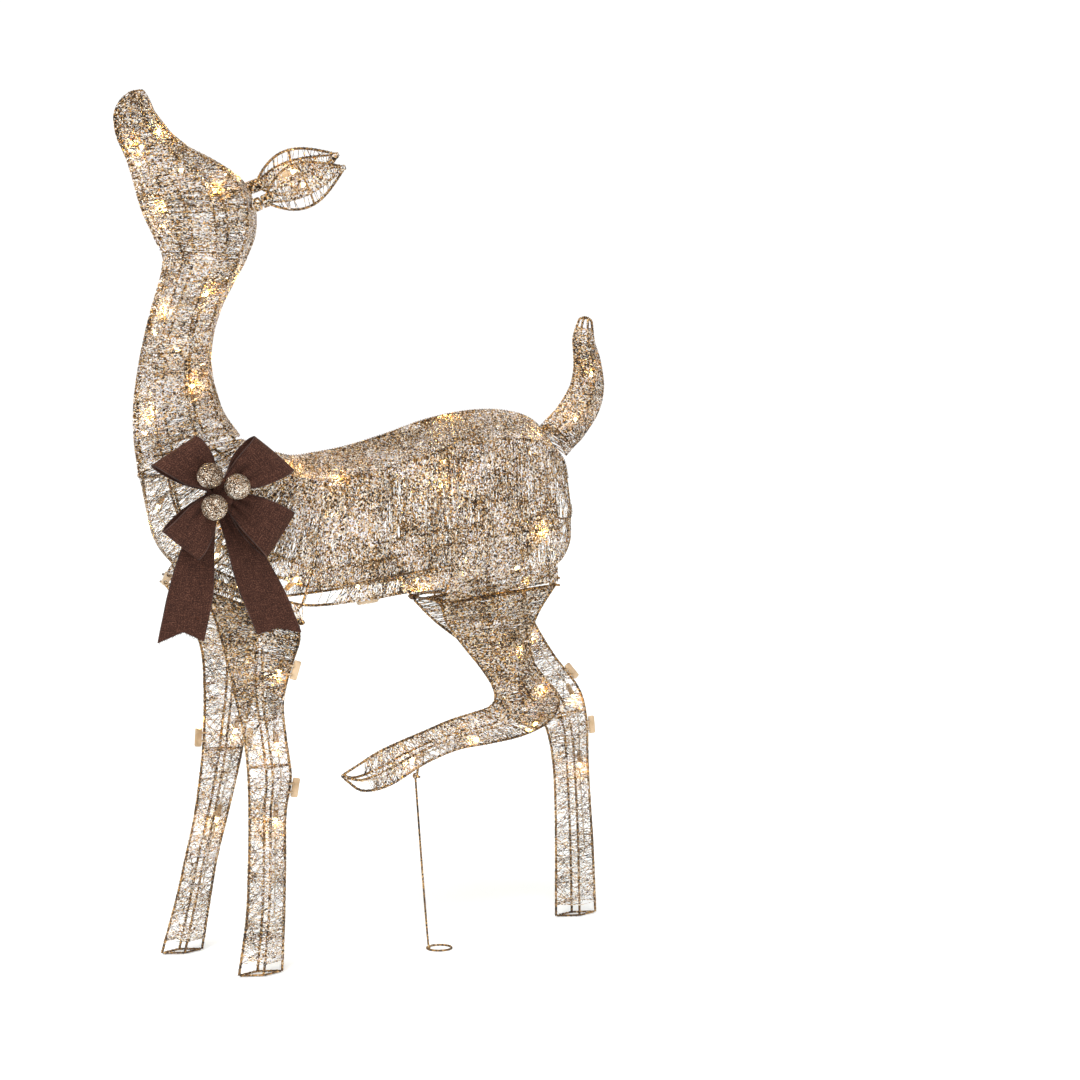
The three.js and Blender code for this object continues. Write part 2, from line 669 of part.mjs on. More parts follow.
function supportRod() {
  const y = ROD_PIN.y + ROD_SIDE;
  const foot = vec(266, y - ROD_LEAN, 2);
  const ring = hoop(evenAngles(12).map((angle) => vec(
    foot.x + GROUND_RING * (1 + Math.cos(radians(angle))),
    foot.y + GROUND_RING * Math.sin(radians(angle)),
    foot.z,
  )));
  const head = eye(ROD_PIN.x, y, ROD_PIN.z, 4);
  return join([head, pin(vec(ROD_PIN.x, y, ROD_PIN.z - 4), foot, HOOP_RADIUS, 6), ring]).subtract(ground);
}

addPart('support_rod', supportRod(), CHAMPAGNE_WIRE);

// ---------- tail ----------

function tailFrame() {
  const cage = wireCage(TAIL, evenAngles(4), evenAngles(8), [0, 3.5]);
  const [frontX, frontZ, rearX, rearZ] = TAIL.stations[0];
  const rootMiddle = vec((frontX + rearX) / 2, 0, (frontZ + rearZ) / 2);
  const crossWire = rod([vec(TAIL_PIVOT.x + 4, 0, TAIL_PIVOT.z + 2), rootMiddle]);
  const span = rod([skinPoint(TAIL, 0, 0), skinPoint(TAIL, 0, 180)]);
  const barRoom = crossPin(TAIL_PIVOT.x, 0, TAIL_PIVOT.z, 8, EYE_BORE);
  return join([cage, crossWire, span, eye(TAIL_PIVOT.x, 0, TAIL_PIVOT.z, 10)]).subtract(barRoom);
}

addPart('tail_frame', tailFrame(), CHAMPAGNE_WIRE);
addPart('tail_thread', threadLayer(TAIL, evenAngles(8), true, [0, 1, 2, 3, 4, 5]), GLITTER_THREAD);
const tailRoute = [0.3, 1, 2, 3, 4].map((place) => insidePoint(TAIL, place, 60, 14));
addPart('tail_light_string', lightString(tailRoute, (i) => i !== 1), WARM_LIGHT);

// ---------- bow ----------

const BOW = vec(-68, 0, 674);
const TAILS_Y = -110;
const LOWER_LOOPS_Y = -124;
const UPPER_LOOPS_Y = -130;
const KNOT_Y = -137;
const BERRIES_Y = -159;
const PINCH = 12;                  // half width of the ribbon under the knot
const ribbonHalf = RIBBON_WIDTH / 2;

// One row across a ribbon: a place on it, the direction across its face, and its half width.
const ribbonRow = (centre, across, half) => [-1, 0, 1].map((side) =>
  centre.clone().addScaledVector(across, side * half));

// A ribbon solid from its rows, thickened along each row's normal.
function ribbon(rows) {
  const layer = (offset) => rows.map((row, i) => {
    const before = rows[Math.max(i - 1, 0)][1];
    const after = rows[Math.min(i + 1, rows.length - 1)][1];
    const across = row[2].clone().sub(row[0]);
    const normal = after.clone().sub(before).cross(across).normalize();
    return row.map((point) => point.clone().addScaledVector(normal, offset));
  });
  return shell(layer(RIBBON_THICK / 2), layer(-RIBBON_THICK / 2), false);
}

// Half a double loop: shares of the loop's length, shares of its depth, and shares of its widening.
const LOOP_PROFILE = [[0.16, 0.12, 0], [0.5, 0.85, 0.7], [0.85, 0.95, 1.1], [1, 0, 1.2]];

// Two loops of one ribbon, left and right of the knot, whose outer edges tilt by the skew in degrees.
function doubleLoop(y, left, right, depth, skew) {
  const side = ([x, z, fullness = 1]) => {
    const length = Math.hypot(x, z);
    const radial = vec(x / length, 0, z / length);
    const square = vec(-radial.z, 0, radial.x).multiplyScalar(Math.sign(x));
    return ([reach, bulge, widening], face) => {
      const half = PINCH + (ribbonHalf - PINCH) * widening * fullness;
      const across = square.clone().applyAxisAngle(vec(0, 1, 0), radians(-Math.sign(x) * skew * reach));
      const centre = BOW.clone().setY(y - face * bulge * depth).addScaledVector(radial, length * reach);
      return ribbonRow(centre, across, half);
    };
  };
  const [leftRow, rightRow] = [side(left), side(right)];
  const back = LOOP_PROFILE.slice(0, -1);
  const rows = [
    ...back.map((step) => leftRow(step, -1)),
    ...LOOP_PROFILE.toReversed().map((step) => leftRow(step, 1)),
    ribbonRow(BOW.clone().setY(y - 2), vec(0, 0, 1), PINCH),
    ...LOOP_PROFILE.map((step) => rightRow(step, 1)),
    ...back.toReversed().map((step) => rightRow(step, -1)),
  ];
  return ribbon(rows);
}

// A ribbon end that hangs from the knot and is cut in a swallowtail.
function bowTail(endX, endZ, lean) {
  const start = BOW.clone().add(vec(Math.sign(lean) * 12, TAILS_Y, -16));
  const end = vec(endX, TAILS_Y, endZ);
  const rows = [0, 0.3, 0.6, 1].map((share) => {
    const centre = start.clone().lerp(end, share);
    return ribbonRow(centre, vec(1, 0, 0), PINCH + (ribbonHalf - PINCH) * Math.min(share / 0.6, 1));
  });
  const notch = new THREE.Shape([[-30, -24], [30, -24], [0, 13]].map(([x, z]) => new THREE.Vector2(x, z)));
  const cutter = crossPlate(notch, 0, 12).translate([endX, TAILS_Y, endZ]);
  return ribbon(rows).subtract(cutter);
}

addPart('bow_upper_loops', doubleLoop(UPPER_LOOPS_Y, [-64, 54], [77, 51], 14, 16), BURLAP);
addPart('bow_lower_loops', doubleLoop(LOWER_LOOPS_Y, [-54, -73, 0.8], [88, -62], 11, 0), BURLAP);
addPart('bow_left_tail', bowTail(-118, 470, -1), BURLAP);
addPart('bow_right_tail', bowTail(23, 476, 1), BURLAP);

const knotShape = new THREE.Shape([[-13, -17], [13, -17], [15, 0], [13, 17], [-13, 17], [-15, 0]]
  .map(([x, z]) => new THREE.Vector2(x, z)));
addPart('bow_knot', crossPlate(knotShape, 0, 4).translate([BOW.x, KNOT_Y, BOW.z]), BURLAP);

const TIE_BACK = vec(BOW.x, -92, BOW.z - 2);
addPart('bow_tie_wire', pin(TIE_BACK, BOW.clone().setY(-121), 1, 6), CHAMPAGNE_WIRE);

[['left', -24, 21], ['right', 14, 6], ['lower', -18, -21]].forEach(([name, x, z]) => {
  const ball = new THREE.IcosahedronGeometry(BERRY_RADIUS, 2);
  ball.translate(BOW.x + x, BERRIES_Y, BOW.z + z);
  addPart(`bow_ball_${name}`, toSolid(ball), GLITTER_BALL);
});

// ---------- power inlet ----------

const socket = pin(vec(172, 0, 507), vec(192, 0, 509.5), 3.2, 8);
addPart('power_inlet', pin(vec(182, 0, 508), vec(214, 0, 512), 6, 12).subtract(socket), CLIP_PLASTIC);

// The origin is the middle of the doe's footprint, on the ground.
const box = new THREE.Box3().setFromObject(doe);
doe.position.set(-(box.min.x + box.max.x) / 2, -(box.min.y + box.max.y) / 2, -box.min.z);

export default doe;
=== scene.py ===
"""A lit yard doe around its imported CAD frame: thread-wound wire sections, warm lamps, a burlap bow.

Sizes are in millimetres in the part's own coordinates until a piece is made, when they move to the
row frame in metres.  The doe faces -X and its left side is -Y.
"""

import json
import math

import bmesh
import bpy
import numpy as np
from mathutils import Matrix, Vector

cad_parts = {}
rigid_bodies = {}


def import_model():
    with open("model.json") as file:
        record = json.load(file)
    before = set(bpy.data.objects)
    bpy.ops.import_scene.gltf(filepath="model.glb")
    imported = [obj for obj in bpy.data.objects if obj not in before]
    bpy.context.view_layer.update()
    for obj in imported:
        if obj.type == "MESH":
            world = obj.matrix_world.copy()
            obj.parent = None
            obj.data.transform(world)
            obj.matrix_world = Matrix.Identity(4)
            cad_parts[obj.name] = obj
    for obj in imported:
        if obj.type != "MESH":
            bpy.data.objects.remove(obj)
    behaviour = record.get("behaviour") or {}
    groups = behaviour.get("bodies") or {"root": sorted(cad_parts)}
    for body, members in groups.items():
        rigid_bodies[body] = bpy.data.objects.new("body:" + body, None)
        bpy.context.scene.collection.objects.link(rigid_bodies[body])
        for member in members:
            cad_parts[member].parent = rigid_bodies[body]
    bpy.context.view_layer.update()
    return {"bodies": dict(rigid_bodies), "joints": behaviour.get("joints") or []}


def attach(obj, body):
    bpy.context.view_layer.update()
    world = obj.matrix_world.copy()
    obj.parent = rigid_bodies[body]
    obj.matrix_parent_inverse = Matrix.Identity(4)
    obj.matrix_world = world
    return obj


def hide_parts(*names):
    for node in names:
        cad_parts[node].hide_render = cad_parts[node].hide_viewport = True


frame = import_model()

# ---------- where the part's own coordinates lie in the row frame ----------

LEFT_FRONT_HINGE = (60.0, -88.0, 490.0)
joint_places = {joint["name"]: joint.get("pos_m") for joint in frame["joints"]}
ORIGIN = np.array(joint_places["left_front_leg_fold"]) - np.array(LEFT_FRONT_HINGE) / 1000


def to_row(points):
    """Millimetres in the part's coordinates to metres in the row frame."""
    return np.asarray(points, float) / 1000 + ORIGIN


# ---------- driving dimensions, in millimetres ----------

WIRE_RADIUS = 1.8
HOOP_RADIUS = 1.5
WIRE_STEP = 7.0
WIRE_SIDES = 10
THREAD_RADIUS = 0.45
WRAP_PITCH = 8.0
WRAP_STEPS = 5
CORNER_REACH = 0.18
EYE_BORE = 2.5
EYE_OUTER = 4.6
EYE_COIL = (EYE_BORE + EYE_OUTER) / 2
EYE_WIRE = 1.0
FRONT_LEG_Y = 88.0
HIND_LEG_Y = 48.0
LEG_HALF = 13.0
BAR_DROP = 9.0
RIBBON_WIDTH = 63.5
WEAVE_PITCH = 2.0
BERRY_RADIUS = 17.5

# ---------- sections: front x, front z, rear x, rear z, half width at each station ----------

TORSO_STATIONS = [
    (-138, 690, 6, 742, 76),
    (-126, 640, 36, 728, 84),
    (-108, 592, 58, 722, 92),
    (-76, 558, 76, 718, 97),
    (-8, 527, 92, 718, 100),
    (60, 499, 112, 721, 101),
    (150, 502, 162, 730, 101),
    (220, 510, 225, 748, 99),
    (291, 517, 292, 770, 95),
    (360, 526, 362, 783, 90),
    (425, 536, 420, 783, 82),
    (478, 546, 464, 770, 68),
    (506, 580, 494, 738, 50),
    (517, 622, 512, 696, 27),
]
NECK_STATIONS = [
    (-140, 695, 4, 747, 76),
    (-146, 745, -20, 780, 60),
    (-146, 790, -32, 812, 54),
    (-140, 835, -38, 848, 49),
    (-131, 880, -35, 885, 46),
    (-119, 925, -23, 925, 44),
    (-107, 964, -4, 962, 44),
    (-102, 990, 10, 986, 45),
]
HEAD_STATIONS = [
    (-104, 998, 15, 996, 47),
    (-118, 1026, 28, 1030, 52),
    (-132, 1056, 28, 1068, 55),
    (-140, 1082, 10, 1104, 54),
    (-146, 1104, -28, 1128, 49),
    (-154, 1128, -68, 1146, 41),
    (-166, 1154, -92, 1162, 32),
    (-170, 1182, -112, 1184, 24),
    (-161, 1204, -124, 1208, 16),
    (-147, 1216, -131, 1219, 7),
]
LEFT_FRONT_STATIONS = [
    (-60, 492, 58, 462),
    (-46, 440, 46, 428),
    (-32, 382, 34, 380),
    (-21, 328, 38, 330),
    (-16, 275, 45, 274),
    (-15, 225, 37, 225),
    (-16, 160, 36, 160),
    (-20, 80, 34, 80),
    (-32, 4.2, 31, 4.2),
]
RIGHT_FRONT_STATIONS = [
    (-44, 492, 60, 462),
    (-24, 440, 60, 428),
    (-20, 382, 54, 380),
    (-21, 328, 42, 328),
    (-25, 275, 32, 275),
    (-36, 200, 13, 200),
    (-50, 140, -3, 140),
    (-64, 82, -14, 82),
    (-87, 4.2, -27, 4.2),
]
LEFT_HIND_STATIONS = [
    (304, 474, 450, 484),
    (332, 438, 437, 446),
    (360, 405, 443, 412),
    (378, 377, 464, 384),
    (380, 358, 486, 350),
    (370, 348, 467, 321),
    (343, 341, 424, 304),
    (308, 333, 370, 296),
    (272, 321, 318, 290),
    (233, 308, 264, 272),
    (195, 294, 212, 246),
    (160, 276, 170, 240),
    (141, 266, 144, 257),
]
RIGHT_HIND_STATIONS = [
    (330, 468, 478, 496),
    (388, 426, 496, 456),
    (442, 384, 528, 408),
    (490, 340, 570, 356),
    (515, 296, 584, 306),
    (526, 246, 586, 246),
    (530, 180, 590, 180),
    (531, 110, 595, 110),
    (531, 4.2, 600, 4.2),
]
TAIL_STATIONS = [
    (491, 772, 535, 732, 24),
    (510, 790, 553, 750, 23),
    (530, 820, 577, 785, 22),
    (537, 846, 586, 822, 19),
    (537, 872, 580, 862, 16),
    (536, 896, 570, 891, 12),
    (544, 920, 567, 917, 9),
]


# ---------- curves and section surfaces ----------


def unit(vectors):
    """Vectors scaled to length one, along the last axis."""
    vectors = np.asarray(vectors, float)
    return vectors / np.maximum(np.linalg.norm(vectors, axis=-1, keepdims=True), 1e-9)


def smooth_rows(rows, places):
    """A smooth curve through the rows, read at places counted in rows."""
    rows = np.asarray(rows, float)
    places = np.clip(np.asarray(places, float), 0, len(rows) - 1)
    low = np.minimum(places.astype(int), len(rows) - 2)
    share = (places - low)[..., None]
    here, ahead = rows[low], rows[low + 1]
    before = np.where((low > 0)[..., None], rows[np.maximum(low - 1, 0)], 2 * here - ahead)
    last = len(rows) - 1
    after = np.where((low < last - 1)[..., None], rows[np.minimum(low + 2, last)], 2 * ahead - here)
    square = 2 * before - 5 * here + 4 * ahead - after
    cube = 3 * here - before - 3 * ahead + after
    return 0.5 * (2 * here + (ahead - before) * share + square * share**2 + cube * share**3)


def distances(points):
    """How far along its path each point lies."""
    return np.concatenate([[0], np.cumsum(np.linalg.norm(np.diff(points, axis=0), axis=1))])


def read_at(wanted, along, rows):
    """The rows read at the wanted distances."""
    return np.stack([np.interp(wanted, along, column) for column in rows.T], axis=1)


def evenly(points, step):
    """Points at about an even step along a smooth curve through the given ones."""
    fine = smooth_rows(points, np.linspace(0, len(points) - 1, 24 * len(points)))
    along = distances(fine)
    count = max(2, int(round(along[-1] / step)) + 1)
    return read_at(np.linspace(0, along[-1], count), along, fine)


class Section:
    """One part of the doe's body: wires run along it and thread is wound around it."""

    def __init__(self, stations, side, wires, rear_power=2.0, front_power=2.0, hoop=None, wraps=True):
        self.table = np.array([row if len(row) == 5 else (*row, LEG_HALF) for row in stations], float)
        self.side = side
        self.wires = wires
        self.hoop = hoop or wires
        self.wraps = wraps
        self.powers = (rear_power, front_power)
        self.last = len(stations) - 1
        self.places = np.linspace(0, self.last, 40 * self.last)
        rows = smooth_rows(self.table, self.places)
        self.lengths = distances((rows[:, 0:2] + rows[:, 2:4]) / 2)
        self.length = self.lengths[-1]

    def place_at(self, distance):
        """The place, counted in stations, at a distance along the section."""
        return np.interp(distance, self.lengths, self.places)

    def distance_to(self, place):
        """The distance along the section at a place."""
        return float(np.interp(place, self.places, self.lengths))

    def skin(self, place, angle, offset=0.0):
        """Points of the surface at places and angles in degrees from the rear edge."""
        place, angle = np.broadcast_arrays(np.asarray(place, float), np.asarray(angle, float))
        row = smooth_rows(self.table, place)
        front_x, front_z, rear_x, rear_z, half = (row[..., k] for k in range(5))
        depth = np.hypot(rear_x - front_x, rear_z - front_z) / 2
        cosine, sine = np.cos(np.radians(angle)), np.sin(np.radians(angle))
        front = self.powers[0] + (self.powers[1] - self.powers[0]) * np.clip(place / 3, 0, 1)
        power = 2 / np.where(cosine < 0, front, self.powers[0])
        along = np.sign(cosine) * np.abs(cosine) ** power * (depth + offset) / (2 * depth)
        across = np.sign(sine) * np.abs(sine) ** power * (half + offset)
        x = (front_x + rear_x) / 2 + along * (rear_x - front_x)
        z = (front_z + rear_z) / 2 + along * (rear_z - front_z)
        return np.stack([x, self.side + across, z], axis=-1)

    def axis_point(self, place):
        """The middle of the section at a place."""
        row = smooth_rows(self.table, place)
        x, z = (row[..., 0] + row[..., 2]) / 2, (row[..., 1] + row[..., 3]) / 2
        return np.stack([x, np.full_like(x, self.side), z], axis=-1)

    def outward(self, place, angle):
        """The direction out of the section at a wire."""
        return unit(self.skin(place, angle) - self.axis_point(np.asarray(place, float)))

    def wire_path(self, angle, first=0.0, last=None):
        """Points along the wire at an angle."""
        last = self.last if last is None else last
        return evenly(self.skin(np.linspace(first, last, 4 * self.last + 1), angle), WIRE_STEP)


# ---------- mesh building ----------


def link(thing):
    bpy.context.scene.collection.objects.link(thing)
    return thing


def place_piece(name, mesh, body, node=None):
    """A piece that rides on a CAD body, in place of a CAD node where one is named."""
    piece = link(bpy.data.objects.new(name, mesh))
    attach(piece, body)
    if node:
        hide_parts(node)
    return piece


class Shape:
    """Vertices and faces gathered for one piece, in millimetres, with one shade value a vertex."""

    def __init__(self):
        self.points, self.faces, self.shades, self.count = [], [], [], 0

    def add(self, points, faces, shade=0.5):
        points = np.asarray(points, float).reshape(-1, 3)
        self.points.append(points)
        self.faces += [[index + self.count for index in face] for face in faces]
        self.shades.append(np.broadcast_to(np.asarray(shade, float), (len(points),)))
        self.count += len(points)

    def make(self, name, material, body, slot, node=None, smooth=True):
        """The Blender piece of this shape."""
        mesh = bpy.data.meshes.new(name)
        mesh.from_pydata(to_row(np.concatenate(self.points)).tolist(), [], self.faces)
        mesh.update()
        shade = mesh.attributes.new("shade", "FLOAT", "POINT")
        shade.data.foreach_set("value", np.concatenate(self.shades).astype(np.float32))
        mesh.polygons.foreach_set("use_smooth", [smooth] * len(mesh.polygons))
        mesh.materials.append(material)
        return place_piece(name, mesh, body, node)


def cell_faces(rows, columns, close_rows=False, close_columns=False):
    """Four-cornered faces over a grid of points, which may close on itself either way."""
    faces = []
    for row in range(rows if close_rows else rows - 1):
        low, high = row * columns, (row + 1) % rows * columns
        for k in range(columns if close_columns else columns - 1):
            after = (k + 1) % columns
            faces.append([low + k, low + after, high + after, high + k])
    return faces


def side_of(axis):
    """A direction square to an axis."""
    side = np.cross(axis, (0.0, 1.0, 0.0))
    return unit(side if np.linalg.norm(side) >= 0.2 else np.cross(axis, (1.0, 0.0, 0.0)))


def ring_frames(path, closed):
    """Two directions across a path at each of its points, carried along it without twist."""
    if closed:
        tangents = unit(np.roll(path, -1, axis=0) - np.roll(path, 1, axis=0))
    else:
        tangents = unit(np.gradient(path, axis=0))
    normals = [side_of(tangents[0])]
    for tangent in tangents[1:]:
        normals.append(unit(normals[-1] - tangent * np.dot(normals[-1], tangent)))
    return np.array(normals), np.cross(tangents, normals)


def spun(across, over, turns, corner=1.0, flat=1.0):
    """Directions turned from across towards over; a corner power under 1 squares their ring."""
    wide, thick = (np.sign(part) * np.abs(part) ** corner for part in (np.cos(turns), np.sin(turns)))
    return wide * across + flat * thick * over


def add_rings(shape, rings, closed=False, shade=0.5):
    """A solid through a row of rings, with flat ends, or closed on itself."""
    rows, sides = rings.shape[:2]
    faces = cell_faces(rows, sides, closed, True)
    if not closed:
        faces += [list(range(sides))[::-1], list(range((rows - 1) * sides, rows * sides))]
    shape.add(rings, faces, shade)


def around(sides):
    return np.arange(sides)[:, None] * 2 * math.pi / sides


def add_tube(shape, path, radius, sides=WIRE_SIDES, closed=False, shade=0.5):
    """A round tube along a path, with flat ends, or closed on itself."""
    path = np.asarray(path, float)
    across, over = ring_frames(path, closed)
    rings = path[:, None] + radius * spun(across[:, None], over[:, None], around(sides))
    add_rings(shape, rings, closed, shade)


def add_rod(shape, low, high, radius=WIRE_RADIUS, sides=WIRE_SIDES, shade=0.5):
    low, high = np.asarray(low, float), np.asarray(high, float)
    add_tube(shape, [low, (low + high) / 2, high], radius, sides, shade=shade)


PRISM_FACES = np.array([
    (0, 1, 5, 4), (1, 2, 6, 5), (2, 3, 7, 6), (3, 0, 4, 7), (3, 2, 1, 0), (4, 5, 6, 7),
])


def add_threads(shape, starts, ends, radius, shades):
    """Straight four-sided threads, one from each start to its end."""
    starts, ends = np.asarray(starts, float), np.asarray(ends, float)
    along = unit(ends - starts)
    aside = unit(np.cross(along, (0.31, 0.72, 0.62)))
    over = np.cross(along, aside)
    corners = np.stack([aside, over, -aside, -over], axis=1) * radius
    points = np.concatenate([starts[:, None] + corners, ends[:, None] + corners], axis=1)
    faces = (PRISM_FACES[None] + 8 * np.arange(len(starts))[:, None, None]).reshape(-1, 4)
    shape.add(points, faces.tolist(), np.repeat(shades, 8))


def add_lathe(shape, start, end, profile, sides=16, corner=1.0, flat=1.0, closed=False):
    """A turned solid from start to end; the profile lists (radius, share of the length).

    A corner power under 1 squares its section, and flat thins it across the doe.
    """
    start, end = np.asarray(start, float), np.asarray(end, float)
    axis = unit(end - start)
    across = side_of(axis)
    ring = spun(across, np.cross(axis, across), around(sides), corner, flat)
    rings = np.array([start + (end - start) * share + radius * ring for radius, share in profile])
    add_rings(shape, rings, closed)


def add_socket(shape, start, end):
    """An open tube with a rim at each end."""
    profile = [(EYE_BORE, 0), (EYE_OUTER, 0), (EYE_OUTER, 1), (EYE_BORE, 1)]
    add_lathe(shape, start, end, profile, closed=True)


def add_coil(shape, start, end, coil_radius, wire_radius, turns, steps=12, sides=6, shade=0.5):
    """A coil of wire wound from start to end around the line between them."""
    start, end = np.asarray(start, float), np.asarray(end, float)
    axis = unit(end - start)
    across = unit(np.cross(axis, (0.3, 0.5, 0.8)))
    share = np.linspace(0, 1, int(turns * steps) + 1)[:, None]
    spin = spun(across, np.cross(axis, across), share * turns * 2 * math.pi)
    add_tube(shape, start + share * (end - start) + coil_radius * spin, wire_radius, sides, shade=shade)


def add_eye(shape, centre, half, turns, radius=EYE_COIL):
    """A coiled eye around a pin that lies across the doe."""
    add_coil(shape, centre - (0, half, 0), centre + (0, half, 0), radius, EYE_WIRE, turns=turns)


# ---------- materials ----------

PATCH_SCALE = 22.0
YARN_STRETCH = 0.12


class Graph:
    """A new material, with a short way to add nodes to it."""

    def __init__(self, name):
        self.material = bpy.data.materials.new(name)
        self.material.use_nodes = True
        self.tree = self.material.node_tree
        self.shader = self.tree.nodes["Principled BSDF"]

    def fill(self, node, inputs):
        """Set a node's inputs to constants, or join them to other nodes' outputs."""
        for key, value in inputs.items():
            if isinstance(value, bpy.types.NodeSocket):
                self.tree.links.new(value, node.inputs[key])
            else:
                node.inputs[key].default_value = value

    def add(self, kind, inputs, output=0, **settings):
        """The output of a new node."""
        node = self.tree.nodes.new(f"ShaderNode{kind}")
        for key, value in settings.items():
            setattr(node, key, value)
        self.fill(node, inputs)
        return node.outputs[output]

    def ramp(self, factor, stops):
        """A colour ramp from (place, colour) stops."""
        output = self.add("ValToRGB", {"Fac": factor})
        elements = output.node.color_ramp.elements
        for element, (place, colour) in ((elements[0], stops[0]), (elements[1], stops[-1])):
            element.position, element.color = place, (*colour, 1)
        for place, colour in stops[1:-1]:
            elements.new(place).color = (*colour, 1)
        return output

    def place(self):
        return self.add("TexCoord", {}, "Object")

    def noise(self, vector, scale, detail=2):
        return self.add("TexNoise", {"Vector": vector, "Scale": scale, "Detail": detail})

    def mix(self, share, first, second):
        return self.add("Mix", {"Factor": share, 2: first, 3: second}, data_type="FLOAT")

    def vector(self, operation, first, second):
        key = "Scale" if operation == "SCALE" else 1
        return self.add("VectorMath", {0: first, key: second}, operation=operation)

    def spread(self, value, low, high):
        return self.add("MapRange", {"Value": value, "To Min": low, "To Max": high})

    def bump(self, height, strength, distance):
        return self.add("Bump", {"Height": height, "Strength": strength, "Distance": distance}, "Normal")

    def finish(self, **inputs):
        """Fill the shader's inputs, whose names have spaces in place of underscores."""
        self.fill(self.shader, {key.replace("_", " "): value for key, value in inputs.items()})
        return self.material


def glitter_material(name, stops, flake, metallic, roughness, tilt):
    """Thread, wire or ball covered in small bright flakes that face every way."""
    graph = Graph(name)
    place = graph.place()
    flakes = graph.add("TexVoronoi", {"Vector": place, "Scale": 1000 / flake}, "Color", feature="F1")
    red = graph.add("SeparateColor", {"Color": flakes}, "Red")
    green = red.node.outputs["Green"]
    shade = graph.add("Attribute", {}, "Fac", attribute_name="shade")
    noise = graph.noise(place, PATCH_SCALE)
    patches = graph.add("MapRange", {"Value": noise, "From Min": 0.32, "From Max": 0.68})
    tone = graph.mix(0.62, graph.mix(0.55, shade, patches), red)
    tilted = graph.vector("SCALE", graph.vector("SUBTRACT", flakes, (0.5, 0.5, 0.5)), tilt)
    normal = graph.add("NewGeometry", {}, "Normal")
    facing = graph.add("VectorMath", {0: graph.vector("ADD", normal, tilted)}, operation="NORMALIZE")
    return graph.finish(
        Base_Color=graph.ramp(tone, stops), Normal=facing, Metallic=metallic,
        Roughness=graph.spread(green, roughness * 0.6, roughness * 1.4),
    )


def moulded_material(name, dark, light, roughness, grain, soft=0.0):
    """Moulded plastic or painted metal with a fine grain and slight colour variation."""
    graph = Graph(name)
    place = graph.place()
    broad = graph.noise(place, 60, 4)
    return graph.finish(
        Base_Color=graph.ramp(broad, [(0.35, dark), (0.65, light)]),
        Normal=graph.bump(graph.noise(place, 1000 / grain), 0.25, grain / 1000 * 0.3),
        Roughness=graph.spread(broad, roughness - 0.08, roughness + 0.08),
        Subsurface_Weight=soft, Subsurface_Radius=(0.006, 0.004, 0.002),
    )


def bulb_material():
    """The lit bulb, in a warm colour mottled by fine noise."""
    graph = Graph("lit_bulb")
    stops = [(0.3, (1.0, 0.70, 0.26)), (0.7, (1.0, 0.84, 0.46))]
    colour = graph.ramp(graph.noise(graph.place(), 500), stops)
    return graph.finish(Emission_Color=colour, Base_Color=colour, Emission_Strength=14.0, Roughness=0.15)


def burlap_material():
    """Coarse woven ribbon: each yarn has its own tone, and flecks run along it."""
    graph = Graph("burlap")
    weave = graph.add("UVMap", {}, uv_map="weave")
    stretches = (((1.0, YARN_STRETCH, 1.0), 1.0), ((YARN_STRETCH, 1.0, 1.0), 1.0), ((1.0, 1.0, 1.0), 1.3))
    warp, weft, flecks = (
        graph.noise(graph.add("Mapping", {"Vector": weave, "Scale": stretch}), scale)
        for stretch, scale in stretches
    )
    return graph.finish(
        Base_Color=graph.ramp(graph.mix(0.62, graph.mix(0.5, warp, weft), flecks), [
            (0.32, (0.012, 0.0045, 0.0032)), (0.50, (0.043, 0.0145, 0.0088)), (0.68, (0.165, 0.070, 0.046)),
        ]),
        Normal=graph.bump(graph.noise(weave, 7.0, 5), 0.7, 0.0004),
        Roughness=0.92, Sheen_Weight=0.08, Sheen_Roughness=0.4, Sheen_Tint=(0.75, 0.45, 0.32, 1),
        Specular_IOR_Level=0.25,
    )


UMBER = (0.022, 0.013, 0.008)
RUST = (0.25, 0.105, 0.026)
BRONZE = (0.17, 0.090, 0.040)
GOLD = (0.64, 0.36, 0.10)
CHAMPAGNE = (0.78, 0.61, 0.38)
PEARL = (0.97, 0.93, 0.86)
LILAC = (0.88, 0.86, 0.96)
THREAD = glitter_material("glitter_thread", [
    (0.34, UMBER), (0.44, RUST), (0.53, GOLD), (0.60, CHAMPAGNE), (0.69, PEARL), (0.86, LILAC),
], 1.8, 0.35, 0.36, 1.3)
WIRE = glitter_material("thread_wound_wire", [
    (0.30, UMBER), (0.58, BRONZE), (0.78, GOLD), (0.88, CHAMPAGNE), (0.96, PEARL),
], 1.8, 0.4, 0.42, 0.9)
BALL = glitter_material("glitter_ball", [
    (0.34, (0.03, 0.018, 0.012)), (0.47, (0.20, 0.12, 0.07)), (0.63, (0.46, 0.33, 0.22)), (0.80, PEARL),
], 1.2, 0.9, 0.34, 0.7)
HOLDER = moulded_material("lamp_holder_plastic", (0.44, 0.30, 0.17), (0.66, 0.49, 0.32), 0.38, 0.5, 0.25)
CABLE = moulded_material("cable_sleeve", (0.55, 0.46, 0.36), (0.74, 0.66, 0.55), 0.32, 0.7, 0.2)
CLIP = moulded_material("clip_plastic", (0.50, 0.38, 0.26), (0.66, 0.53, 0.39), 0.42, 0.5, 0.1)
METAL = moulded_material("painted_metal", (0.13, 0.085, 0.055), (0.22, 0.15, 0.10), 0.38, 0.4)
BULB = bulb_material()
BURLAP_YARN = moulded_material("burlap_yarn", (0.022, 0.009, 0.007), (0.085, 0.040, 0.030), 0.88, 0.35)
BURLAP = burlap_material()

# ---------- winding thread around a section ----------

CLUMP_WAVES = (23.0, 61.0)
END_SPREAD = 2.0
STEP_SPREAD = 4.0
TONE_SPREAD = 0.15
WEB_MARGIN = 2.0


